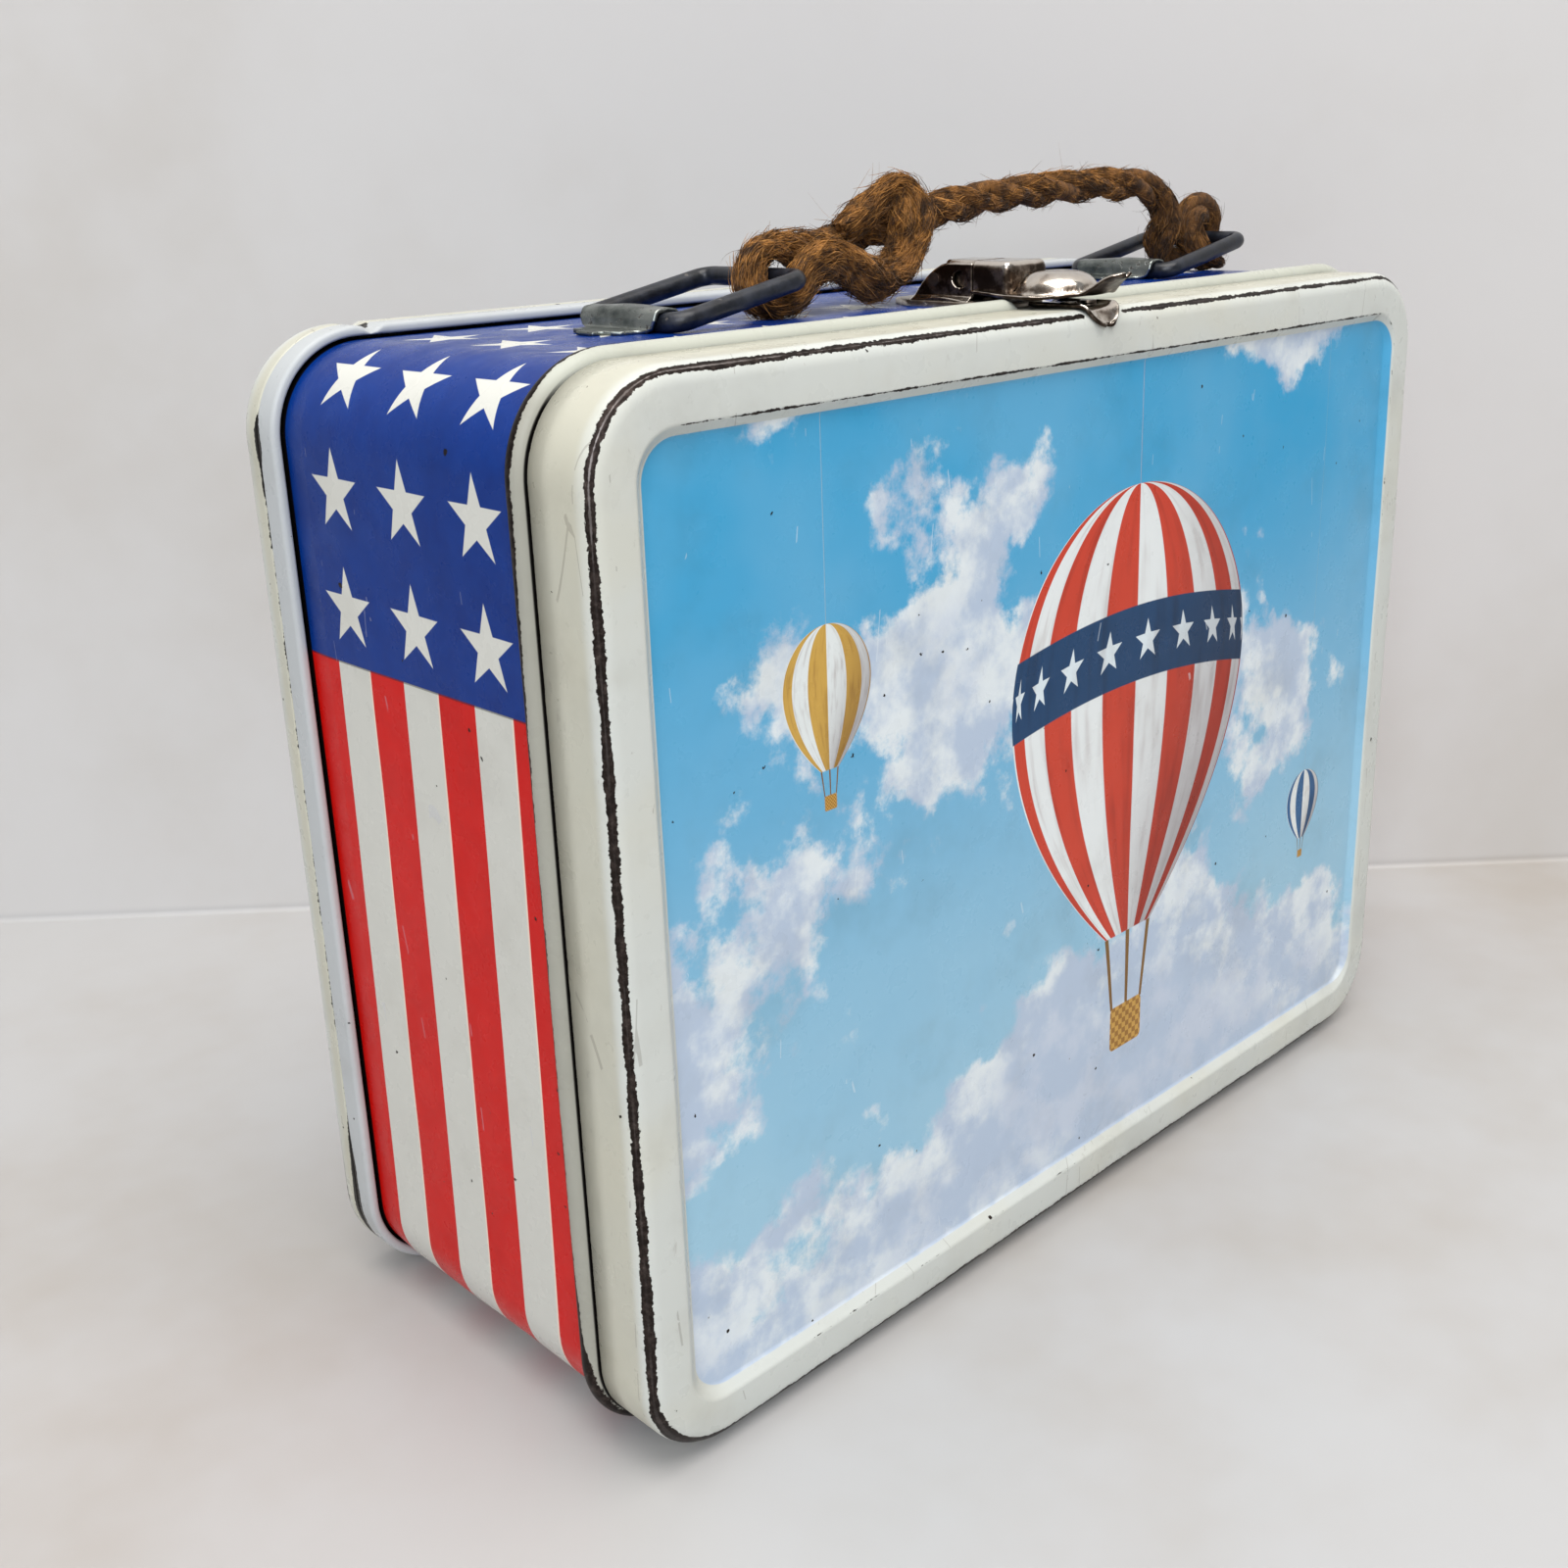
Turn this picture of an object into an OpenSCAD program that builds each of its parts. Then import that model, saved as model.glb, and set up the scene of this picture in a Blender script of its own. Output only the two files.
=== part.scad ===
// Steel lunch box: a printed band closed by a drawn back and a hinged lid, with a spring latch,
// two wire handle loops joined by a tied rope, and a wire bottle clip inside.
// Millimetres. X runs along the box, -Y is the lid side, +Z is up, and the rims stand on Z = 0.

/* [Box] */
// Length of the box over its rims
box_w = 222; // [205:1:240]
// Height of the box over its rims
box_h = 173; // [165:1:190]
// Depth from the lid's face to the back's face
box_d = 88; // [84:1:96]
// Outer corner radius of the rims
corner_r = 17; // [16:0.5:20]
// How far the rims stand proud of the band
rim_proud = 1.9; // [1.8:0.1:2.2]
// Thickness of the tinned steel sheet
sheet_t = 0.5; // [0.4:0.05:0.6]

/* [Lid and back] */
// Depth of the lid's wall, from its open edge to its face
lid_depth = 12.8; // [11.5:0.1:15]
// Radius of the lid's front edge
lid_edge_r = 3; // [2.5:0.1:3.5]
// Width of the plain border round the sunk panel
border_w = 8; // [7:0.5:10]
// How deep the panel is sunk below the border
panel_drop = 1.6; // [1:0.1:2]
// Width of the sloping step round the panel
step_w = 1.8; // [1.2:0.1:2.4]
// Width of the rolled rear rim
back_rim_w = 9.6; // [8:0.2:11]

/* [Hinge] */
// Radius of the hinge wire
hinge_pin_r = 0.9; // [0.8:0.05:1]
// Length of the hinge along the bottom edge
hinge_len = 162; // [126:9:180]
// Number of knuckles, the first and last on the body
knuckles = 9; // [5:2:11]

/* [Handle] */
// Place of the left handle bracket along X
bracket_left_x = -64; // [-66:1:-62]
// Place of the right handle bracket along X
bracket_right_x = 68; // [66:1:70]
// Length of a bracket along its loop
bracket_len = 18.6; // [16:0.2:19]
// Radius of the loop wire
loop_wire_r = 1.6; // [1.4:0.1:1.6]
// Distance from a loop's pivot to its end bar
loop_reach = 27.5; // [27:0.5:28]
// Angle at which the loops lean when they lie down
loop_lean = 10.5; // [10.5:0.5:12]

/* [Latch] */
// Width of the latch housing
latch_w = 11.2; // [10.8:0.2:12]
// Height of the latch lever above the band
latch_h = 7.9; // [7.6:0.1:8.4]
// Radius of the domed thumb piece
dome_r = 9; // [8:0.2:9.6]
// Radius of the latch pin
latch_pin_r = 1.2; // [1:0.1:1.3]
// Width of the catch strip at its rounded end
catch_w = 11.4; // [10:0.2:12]

/* [Bottle clip] */
// Radius of the clip wire
clip_wire_r = 1.25; // [1:0.05:1.4]
// Width of the clip between the centres of its legs
clip_w = 78; // [70:1:82]
// Height of the clip's pivot above the floor
clip_z = 118; // [110:1:124]
// Place of the clip's middle along X
clip_x = -50; // [-52:1:-46]

/* [Hidden] */
$fn = 48;

eps = 0.01;                                // overlap where two solids of one node are joined
gap = 0.3;                                 // clearance between bodies that move past each other
run = 0.05;                                // radial clearance of a pin in its hole
corner_x = box_w/2 - corner_r;             // centre of a corner from the middle, along X
corner_y = box_h/2 - corner_r;             // centre of a corner from the middle, along the height
front_f = box_d/2;                         // face of the lid, measured forwards from the middle
back_f = -box_d/2;                         // face of the back
band_r = corner_r - rim_proud;             // band's outer face from the corner centre
band_top = box_h - rim_proud;              // height of the band's flat top
bead_f = front_f - lid_depth - 2.2;        // middle of the front bead
neck_r = band_r - sheet_t;                 // outer face of the neck ring inside the band
lid_r = neck_r + gap + sheet_t;            // outer face of the lid's wall
lid_rear_f = front_f - lid_depth;          // open edge of the lid
knuckle_pitch = hinge_len/knuckles;        // one knuckle with its gap
back_roll = 1.8;                           // radius of the rear rim's rounded edges
latch_notch = 13;                          // opening in the front bead under the latch
middle_y = 2;                              // middle of the box, behind the middle of box and lip

// ---------- sheet shapes carried round the rounded rectangle of the box ----------
// A profile is drawn as (distance outwards from the corner centre, distance forwards).

// Local frame: X along the box, Y up from the middle, Z forwards. stand() turns it upright.
module stand() { set_back() translate([0, 0, box_h/2]) rotate([90, 0, 0]) children(); }

// Sets a part back from the box's own middle plane to where the origin is under the middle of all
module set_back() { translate([0, middle_y, 0]) children(); }

// The profile carried along one straight side of the given length
module side(length) {
    rotate([90, 0, 90]) translate([0, 0, -length/2]) linear_extrude(length) children();
}

// The profile carried all the way round
module around() {
    for (s = [0, 1]) {
        rotate([0, 0, 180*s]) translate([0, corner_y, 0]) side(2*corner_x) children();
        rotate([0, 0, 180*s + 90]) translate([0, corner_x, 0]) side(2*corner_y) children();
    }
    for (q = [0:3]) {
        translate([(q == 0 || q == 3 ? 1 : -1)*corner_x, (q < 2 ? 1 : -1)*corner_y, 0])
            rotate([0, 0, 90*q]) rotate_extrude(angle = 90) children();
    }
}

// A strip of sheet in the profile, from one corner to the opposite one
module strip(r0, f0, r1, f1) { translate([r0, f0]) square([r1 - r0, f1 - f0]); }

// A quarter of a rolled edge, centred at (r, f), on its outer side, towards +f or -f
module rolled_edge(r, f, outer, towards) {
    translate([r, f]) intersection() {
        difference() {
            circle(outer);
            circle(outer - sheet_t);
        }
        translate([0, towards > 0 ? 0 : -outer]) square(outer);
    }
}

// The dished face that the lid and the back share, drawn for the front and mirrored for the back
module face_profile(edge_r, face) {
    crest = lid_r - border_w;
    foot = crest - step_w;
    low = face - panel_drop;
    lean = 0.2;                            // keeps the sloping sheet near its full thickness
    polygon([[0, low], [foot, low], [crest, face], [edge_r, face], [edge_r, face - sheet_t],
             [crest + lean, face - sheet_t], [foot + lean, low - sheet_t], [0, low - sheet_t]]);
}

// The flat middle of the sunk panel, between the corner centres
module panel_middle(face) {
    translate([0, 0, face - panel_drop - sheet_t/2])
        cube([2*corner_x, 2*corner_y, sheet_t], center = true);
}

// ---------- body ----------

// Half-round bead pressed outwards in the band
module bead_profile() {
    difference() {
        translate([band_r, bead_f]) circle(rim_proud);
        translate([band_r, bead_f]) circle(rim_proud - sheet_t);
        strip(band_r - 2*rim_proud, bead_f - 2*rim_proud, band_r - sheet_t, bead_f + 2*rim_proud);
    }
}

// A box along the hinge, forward of the given line, that clears the knuckles
module hinge_clearance(from_f) {
    translate([-hinge_len/2 - 1, -box_h, from_f]) cube([hinge_len + 2, box_h - corner_y, 30]);
}

// Knuckle k of the hinge, a short tube round the hinge wire
module knuckle(k) {
    translate([(k - (knuckles - 1)/2)*knuckle_pitch, -corner_y - band_r, bead_f])
        rotate([0, 90, 0]) difference() {
            cylinder(h = knuckle_pitch - gap, r = rim_proud, center = true);
            cylinder(h = knuckle_pitch, r = hinge_pin_r + run, center = true);
        }
}

module body_band() {
    color("royalblue") stand() {
        difference() {
            around() strip(band_r - sheet_t, back_f + 2, band_r, bead_f - rim_proud + sheet_t + 0.2);
            hinge_clearance(bead_f - rim_proud);
            latch_base_holes();
        }
        difference() {
            around() bead_profile();
            hinge_clearance(bead_f - rim_proud - 1);
            translate([0, corner_y + band_r, bead_f])
                cube([latch_notch + 2*rim_proud, 4*rim_proud, 3*rim_proud], center = true);
        }
        for (s = [-1, 1])
            translate([s*(latch_notch/2 + rim_proud), corner_y + band_r, bead_f]) bead_end();
        for (k = [0:2:knuckles - 1]) {
            knuckle(k);
            translate([(k - (knuckles - 1)/2)*knuckle_pitch, -corner_y - band_r + sheet_t/2,
                       bead_f - rim_proud])
                cube([knuckle_pitch - gap, sheet_t, 1.4], center = true);
        }
    }
}

// Rounded end of the front bead beside the latch
module bead_end() {
    intersection() {
        sphere(rim_proud);
        translate([-rim_proud, -sheet_t, -rim_proud]) cube(2*rim_proud);
    }
}

// Inner ring that stiffens the mouth and centres the lid
module neck_ring() {
    color("gainsboro") stand() difference() {
        around() strip(neck_r - sheet_t, bead_f - 7, neck_r, lid_rear_f + 4);
        hinge_clearance(bead_f - rim_proud - gap);
    }
}

// Rolled rear rim: a hollow, round-edged hoop that grips the band
module back_rim_profile() {
    roll = back_roll;
    wall_f = back_f + roll;
    curl_f = back_f + back_rim_w - roll;
    r = corner_r - roll;
    difference() {
        union() {
            rolled_edge(r, wall_f, roll, -1);
            rolled_edge(r, curl_f, roll, 1);
            strip(corner_r - sheet_t, wall_f, corner_r, curl_f);
        }
        translate([corner_r + 0.15, (wall_f + curl_f)/2]) circle(0.35);
    }
    strip(band_r, curl_f + roll - sheet_t, r, curl_f + roll);
}

module back_panel() {
    color("ivory") stand() difference() {
        union() {
            around() back_rim_profile();
            mirror([0, 0, 1]) {
                around() face_profile(corner_r - back_roll, front_f);
                panel_middle(front_f);
            }
        }
        for (s = [-1, 1])
            translate([clip_foot_x(s), clip_z - box_h/2, back_f]) cylinder(h = 6, r = rivet_r);
    }
}

// ---------- lid ----------

module lid_profile() {
    strip(lid_r - sheet_t, lid_rear_f, lid_r, front_f - lid_edge_r);
    rolled_edge(lid_r - lid_edge_r, front_f - lid_edge_r, lid_edge_r, 1);
    face_profile(lid_r - lid_edge_r, front_f);
}

module lid_pan() {
    color("ivory") stand() difference() {
        union() {
            around() lid_profile();
            panel_middle(front_f);
            for (k = [1:2:knuckles - 1]) {
                knuckle(k);
                translate([(k - (knuckles - 1)/2)*knuckle_pitch,
                           -corner_y - lid_r + sheet_t/2, (bead_f + rim_proud + lid_rear_f)/2])
                    cube([knuckle_pitch - gap, sheet_t, 1.8], center = true);
            }
        }
        for (s = [-1, 1])
            translate([s*catch_rivet_x, corner_y, catch_rivet_f])
                rotate([-90, 0, 0]) cylinder(h = 30, r = catch_rivet_r);
    }
}

module hinge_pin() {
    color("dimgray") stand() translate([0, -corner_y - band_r, bead_f])
        rotate([0, 90, 0]) cylinder(h = hinge_len, r = hinge_pin_r, center = true);
}

// ---------- latch ----------

latch_wall = 0.8;                          // sheet of the latch parts
plate_t = 0.8;                             // base plate on the band
pivot_y = -10.8;                           // latch pin
pivot_z = band_top + 4.6;
housing_end_y = -19.6;                     // front end of the housing's walls
lever_w = latch_w - 2*latch_wall - 0.6;    // lever's channel, loose between the housing's walls
lever_end_y = -31;                         // front end of the lever's channel
lever_top = band_top + latch_h;
dome_y = -34.5;                            // middle of the domed thumb piece
flange_z = band_top + 2.5;                 // underside of the lever's flange
dome_h = 3.6;                              // rise of the dome above the flange
rivet_r = 1.2;                             // shank of the latch and clip rivets
rivet_ys = [-5.6, -18.6];                  // latch rivets, along Y
catch_rivet_r = 0.8;
catch_rivet_x = 2.6;                       // catch rivets each side of the middle
catch_rivet_f = 38.4;                      // catch rivets, forwards from the middle

// Holes in the band for the latch rivets, in the local frame
module latch_base_holes() {
    for (y = rivet_ys)
        translate([0, corner_y, -y]) rotate([-90, 0, 0]) cylinder(h = 30, r = rivet_r);
}

// A plate standing in the YZ plane, given by its outline, at x with the given thickness
module upright(x, thickness, outline) {
    translate([x, 0, 0]) rotate([90, 0, 90]) linear_extrude(thickness) polygon(outline);
}

// A sphere's cap of the given rim radius and rise, standing on z = 0
module cap(rim, rise) {
    r = (rim*rim + rise*rise)/(2*rise);
    intersection() {
        translate([0, 0, rise - r]) sphere(r, $fn = 72);
        translate([-rim, -rim, 0]) cube([2*rim, 2*rim, rise]);
    }
}

module latch_base() {
    t0 = band_top;
    t1 = band_top + plate_t;
    wall_top = band_top + latch_h - 0.4;
    wall = [[-1.6, t1 - eps], [-8.6, wall_top - 0.5], [-9.4, wall_top],
            [housing_end_y, wall_top], [housing_end_y, t1 - eps]];
    color("silver") set_back() difference() {
        union() {
            translate([0, 0, t0]) linear_extrude(plate_t) union() {
                polygon([[-3, 1], [3, 1], [7.4, -6], [7.4, -24], [5.4, -26.6], [-5.4, -26.6],
                         [-7.4, -24], [-7.4, -6]]);
            }
            upright(-latch_w/2, latch_wall, wall);
            upright(latch_w/2 - latch_wall, latch_wall, wall);
            upright(-latch_w/2 + eps, latch_w - 2*eps,
                    [[-1.6, t1 - eps], [-6.2, t1 + 4.1], [-6.2, t1 + 3.2], [-2.5, t1 - eps]]);
        }
        translate([0, pivot_y, pivot_z]) rotate([0, 90, 0])
            cylinder(h = 2*latch_w, r = latch_pin_r + run, center = true);
        for (y = rivet_ys) translate([0, y, t0 - 1]) cylinder(h = 4, r = rivet_r);
    }
}

module latch_lever() {
    half = lever_w/2;
    low = band_top + 2.4;
    nose = [[-9.5, lever_top - 1.2], [-10.4, lever_top], [lever_end_y, lever_top],
            [lever_end_y, flange_z], [-15, low], [-9.5, low + 0.6]];
    color("gainsboro") set_back() difference() {
        union() {
            upright(-half, latch_wall, nose);
            upright(half - latch_wall, latch_wall, nose);
            translate([-half, lever_end_y, lever_top - latch_wall])
                cube([lever_w, -10.4 - lever_end_y, latch_wall]);
            lever_flange();
            translate([0, dome_y, flange_z + latch_wall - eps]) cap(dome_r, dome_h);
            thumb_lip();
        }
        translate([0, dome_y, flange_z - eps]) cap(dome_r - 0.7, dome_h);
        translate([0, pivot_y, pivot_z]) rotate([0, 90, 0])
            cylinder(h = 2*latch_w, r = latch_pin_r + run, center = true);
        translate([-half + latch_wall, lever_end_y - 4, low - 1])
            cube([lever_w - 2*latch_wall, 30, lever_top - latch_wall - low + 1]);
    }
}

// Flat skirt round the dome
module lever_flange() {
    translate([0, 0, flange_z]) linear_extrude(latch_wall) difference() {
        union() {
            translate([0, dome_y]) circle(dome_r + 0.8);
            polygon([[-6, -21.5], [6, -21.5], [9.2, -31], [9.2, -37], [6, -42.6], [-6, -42.6],
                     [-9.2, -37], [-9.2, -31]]);
        }
        translate([-lever_w/2 + latch_wall, lever_end_y - 4]) square([lever_w - 2*latch_wall, 20]);
    }
}

// Thumb lip that sweeps up from the front of the flange
module thumb_lip() {
    lip_a = 32;                            // slope of the lip
    translate([0, -42.3, flange_z]) rotate([-lip_a, 0, 0]) linear_extrude(latch_wall) union() {
        polygon([[-6, 0.6], [6, 0.6], [3.2, -4], [-3.2, -4]]);
        translate([0, -3.6]) circle(3.1);
    }
}

module latch_pin() {
    color("dimgray") set_back() translate([0, pivot_y, pivot_z]) rotate([0, 90, 0])
        cylinder(h = latch_w + 0.2, r = latch_pin_r, center = true);
}

module latch_rivets() {
    color("silver") set_back() for (y = rivet_ys) translate([0, y, 0]) {
        translate([0, 0, band_top - sheet_t - 0.6]) cylinder(h = 0.6, r = 1.8);
        translate([0, 0, band_top - sheet_t - eps])
            cylinder(h = sheet_t + plate_t + 2*eps, r = rivet_r);
        translate([0, 0, band_top + plate_t]) cylinder(h = 0.6, r = 1.8);
    }
}

// ---------- tubes swept along a line ----------

function unit(v) = v/norm(v);
function tangent(p, i) =
    unit(p[min(i + 1, len(p) - 1)] - p[max(i - 1, 0)]);
// Side direction at each point, kept from twisting by taking it over from the point before
function sides_along(p, first, i = 0, out = []) =
    i == len(p) ? out
    : let (t = tangent(p, i), last = i == 0 ? first : out[i - 1])
      sides_along(p, first, i + 1, concat(out, [unit(last - t*(last*t))]));

// Tube along the points p, with radius r[i] at point i and n sides
module tube(p, r, n, first) {
    u = sides_along(p, first);
    rings = [for (i = [0:len(p) - 1]) let (v = cross(tangent(p, i), u[i]))
        for (k = [0:n - 1]) p[i] + r[i]*(cos(360*k/n)*u[i] + sin(360*k/n)*v)];
    last = (len(p) - 1)*n;
    faces = concat(
        [[for (k = [0:n - 1]) n - 1 - k]],
        [[for (k = [0:n - 1]) last + k]],
        [for (i = [0:len(p) - 2], k = [0:n - 1])
            [i*n + k, i*n + (k + 1)%n, (i + 1)*n + (k + 1)%n, (i + 1)*n + k]]);
    polyhedron(points = rings, faces = [for (f = faces) [for (j = [len(f) - 1:-1:0]) f[j]]]);
}

// Points of a smooth curve through the route, with the given number of steps to each stretch
function spline_at(a, b, c, d, t) =
    0.5*(2*b + (c - a)*t + (2*a - 5*b + 4*c - d)*t*t + (3*b - a - 3*c + d)*t*t*t);
function smooth(q, steps) = concat(
    [for (i = [0:len(q) - 2], s = [0:steps - 1])
        spline_at(q[max(i - 1, 0)], q[i], q[i + 1], q[min(i + 2, len(q) - 1)], s/steps)],
    [q[len(q) - 1]]);

// Torsion spring on the latch pin: a lower leg, the turns and an upper leg
module latch_spring() {
    turns = 4;
    steps = 12;
    coil_r = latch_pin_r + 0.75;
    wire_r = 0.3;
    coil = [for (i = [0:turns*steps]) let (a = 360*i/steps)
        [-2.2 + 4.4*i/(turns*steps), pivot_y - coil_r*sin(a), pivot_z - coil_r*cos(a)]];
    path = concat([[-2.2, pivot_y + 5.4, pivot_z - coil_r - 0.5]], coil,
                  [[2.2, pivot_y - 5, pivot_z - coil_r + 0.4]]);
    color("darkgray") set_back() tube(path, [for (p = path) wire_r], 6, [1, 0, 0]);
}

// ---------- catch on the lid ----------

catch_t = 0.7;
catch_z = band_top - band_r + lid_r;       // top of the lid's wall
catch_bend_y = -(front_f - lid_edge_r);    // where the strip starts to curl over the edge

// The strip in profile: flat on the lid, then curled over the lid's rounded edge
module catch_profile() {
    bend = 62;                             // angle that the tongue curls through
    reach = 2*lid_edge_r;
    translate([catch_bend_y, 0]) square([-lid_rear_f - catch_bend_y, catch_t]);
    translate([catch_bend_y, -lid_edge_r]) intersection() {
        difference() {
            circle(lid_edge_r + catch_t);
            circle(lid_edge_r);
        }
        polygon([[0, 0], [0, reach], [-reach, reach], [-reach, reach*cos(bend)/sin(bend)]]);
    }
}

module catch_plate() {
    color("silver") set_back() difference() {
        intersection() {
            union() {
                translate([-catch_w/2, 0, catch_z]) rotate([90, 0, 90])
                    linear_extrude(catch_w) catch_profile();
                translate([0, dome_y, catch_z + 0.3]) cap(3.2, catch_t + 0.3);
            }
            translate([0, 0, catch_z - 10]) linear_extrude(20)
                polygon([[-4.4, -28], [4.4, -28], [4.4, -38], [catch_w/2, -41.4], [4.6, -43.6],
                         [2, -45], [-2, -45], [-4.6, -43.6], [-catch_w/2, -41.4], [-4.4, -38]]);
        }
        for (s = [-1, 1])
            translate([s*catch_rivet_x, -catch_rivet_f, catch_z - 2])
                cylinder(h = 6, r = catch_rivet_r);
    }
}

module catch_rivets() {
    color("silver") set_back() for (s = [-1, 1])
        translate([s*catch_rivet_x, -catch_rivet_f, catch_z]) {
        translate([0, 0, -sheet_t - 0.5]) cylinder(h = 0.5, r = 1.4);
        translate([0, 0, -sheet_t - eps])
            cylinder(h = sheet_t + catch_t + 2*eps, r = catch_rivet_r);
        translate([0, 0, catch_t]) cylinder(h = 0.4, r = 1.4);
    }
}

// ---------- handle ----------

loop_y = 2;                                // middle of the brackets and loops along Y
loop_z = band_top + loop_wire_r + 0.05;    // pivot of the loops
arch_t = 0.6;                              // sheet of the brackets
bend_r = 2.6;                              // bends of the loop wire
loop_half = bracket_len/2 + bend_r + 0.1;  // legs of a loop, each side of the middle

// Strap that arches over a loop's pivot, with a foot on each side and a tongue on the outer foot
module handle_bracket(x) {
    inner = loop_wire_r + run;
    outer = inner + arch_t;
    foot_w = 7;
    color("darkgray") set_back() translate([x, loop_y, band_top]) {
        rotate([90, 0, 0]) linear_extrude(bracket_len, center = true) difference() {
            union() {
                translate([0, loop_z - band_top]) circle(outer);
                translate([-outer, 0]) square([2*outer, loop_z - band_top]);
            }
            translate([0, loop_z - band_top]) circle(inner);
            translate([-inner, -1]) square([2*inner, 1 + loop_z - band_top]);
        }
        translate([-outer - foot_w + eps, -6, 0]) cube([foot_w, 12, arch_t]);
        translate([outer - eps, -5, 0]) cube([3, 10, arch_t]);
        translate([-outer - foot_w - 4, 2.6, 0]) cube([4 + eps, 3, arch_t]);
    }
}

module handle_bracket_left() { handle_bracket(bracket_left_x); }
module handle_bracket_right() { handle_bracket(bracket_right_x); }

// Quarter bend of the loop wire, in the XY plane
module wire_bend(x, y, turn) {
    translate([x, y, 0]) rotate([0, 0, turn]) rotate_extrude(angle = 90)
        translate([bend_r, 0]) circle(loop_wire_r);
}

// Closed wire loop on its pivot, leaning to +X
module handle_loop(x) {
    leg = loop_reach - 2*bend_r;
    bar = 2*(loop_half - bend_r);
    color("#2b2d33") set_back() translate([x, loop_y, loop_z]) rotate([0, -loop_lean, 0]) {
        for (end = [0, loop_reach])
            translate([end, 0, 0]) rotate([90, 0, 0])
                cylinder(h = bar, r = loop_wire_r, center = true);
        for (s = [-1, 1])
            translate([bend_r, s*loop_half, 0]) rotate([0, 90, 0])
                cylinder(h = leg, r = loop_wire_r);
        wire_bend(bend_r, loop_half - bend_r, 90);
        wire_bend(bend_r, bend_r - loop_half, 180);
        wire_bend(loop_reach - bend_r, loop_half - bend_r, 0);
        wire_bend(loop_reach - bend_r, bend_r - loop_half, 270);
    }
}

module handle_loop_left() { handle_loop(bracket_left_x); }
module handle_loop_right() { handle_loop(bracket_right_x); }

// Route of the rope: X, Y, height above the band, and radius where the rope is squeezed or full.
// It starts at its end under the right bar, goes one and a half times round that bar, spans to the
// left bar, rounds that, and its free tail bows down to the band and stands up in front of the span.
rope_route = [
    [97.6, -3.4, 2.8, 1.8], [94.6, -2.9, 2.5, 2.3], [91.6, -2.3, 3.8, 2.4], [90, -1.6, 7.2, 2.6],
    [90.8, -0.6, 11.2, 2.8], [94.9, 0.4, 13, 2.8], [99.4, 1.4, 11.4, 2.7], [101, 2.8, 7, 2.5],
    [98, 4.4, 3.2, 2.3], [92.8, 5.4, 2.5, 2.3], [88.4, 6, 3.6, 2.5], [85.9, 5.4, 7, 2.8],
    [85.6, 4.4, 11.2, 2.9], [83.6, 3.8, 15.2, 2.9], [77.6, 3.4, 17.8, 2.9], [69, 3.6, 18.8, 2.9],
    [53, 5.1, 18.7, 2.9], [36, 6.5, 17.8, 2.9], [20, 7.6, 16.1, 2.9], [8, 7.4, 14.4, 2.9],
    [-2, 6.4, 12.9, 2.9], [-12, 5, 11.4, 2.9], [-20, 3.4, 10.4, 2.9], [-28, 1.5, 10.7, 2.7],
    [-34.4, -0.3, 11.3, 2.4], [-39.7, -1.2, 9.9, 2.3], [-41.6, -1.8, 6.4, 2.3], [-40, -2.6, 3.4, 2.3],
    [-36.4, -3.4, 2.5, 2.3], [-32.8, -4, 4.2, 2.3], [-30.6, -4.3, 7.4, 2.6], [-26, -4.4, 9.1, 2.8],
    [-20, -3.9, 7.4, 3], [-14, -3, 4.9, 3.1], [-8.6, -2.1, 4.8, 3.1], [-4, -1.3, 7.1, 3.1],
    [-1.4, -1, 11, 3.1], [-0.8, -0.9, 15, 3], [-1.6, -0.6, 18.8, 2.4], [-3.2, -0.2, 21.6, 1.3]];

module handle_rope() {
    rings = smooth(rope_route, 2);
    points = [for (q = rings) [q[0], q[1], band_top + q[2]]];
    color("saddlebrown") set_back() tube(points, [for (q = rings) q[3]], 10, [0, 1, 0]);
}

// ---------- bottle clip ----------

clip_y = -back_f - panel_drop - sheet_t - 2.6;   // plane of the folded clip
clip_leg = 33;                             // straight part of a leg below the pivot
ear_t = 0.8;
function ear_x(s) = clip_x + s*(clip_w/2 + 2.2);       // middle of an ear
function clip_foot_x(s) = ear_x(s) + s*5;              // rivet of an ear's foot

module bottle_clip() {
    color("silver") set_back() translate([clip_x, clip_y, clip_z]) {
        for (s = [-1, 1]) {
            translate([s*clip_w/2, 0, -clip_leg]) cylinder(h = clip_leg, r = clip_wire_r);
            translate([s*clip_w/2, 0, 0]) sphere(clip_wire_r);
            translate([s*clip_w/2, 0, 0]) rotate([0, s*90, 0])
                cylinder(h = 4.2, r = clip_wire_r);
        }
        translate([0, 0, -clip_leg]) rotate([90, 0, 0]) rotate([0, 0, 180])
            rotate_extrude(angle = 180) translate([clip_w/2, 0]) circle(clip_wire_r);
    }
}

// Ear with the clip's pivot hole and a foot riveted to the back
module clip_ear(s) {
    foot_y = -back_f - panel_drop - sheet_t;
    ear_r = foot_y - clip_y;               // rounds the ear about its pivot hole
    color("silver") set_back() difference() {
        union() {
            translate([ear_x(s), clip_y, clip_z]) rotate([0, 90, 0])
                cylinder(h = ear_t, r = ear_r, center = true);
            translate([ear_x(s) - ear_t/2, clip_y, clip_z - ear_r])
                cube([ear_t, foot_y - clip_y, 2*ear_r]);
            translate([s > 0 ? ear_x(s) - ear_t/2 : ear_x(s) + ear_t/2 - 9, foot_y - ear_t,
                       clip_z - 4.5])
                cube([9, ear_t, 9]);
        }
        translate([ear_x(s), clip_y, clip_z]) rotate([0, 90, 0])
            cylinder(h = 4*ear_t, r = clip_wire_r + run, center = true);
        translate([clip_foot_x(s), foot_y + 1, clip_z]) rotate([90, 0, 0])
            cylinder(h = 4, r = rivet_r);
    }
}

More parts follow.
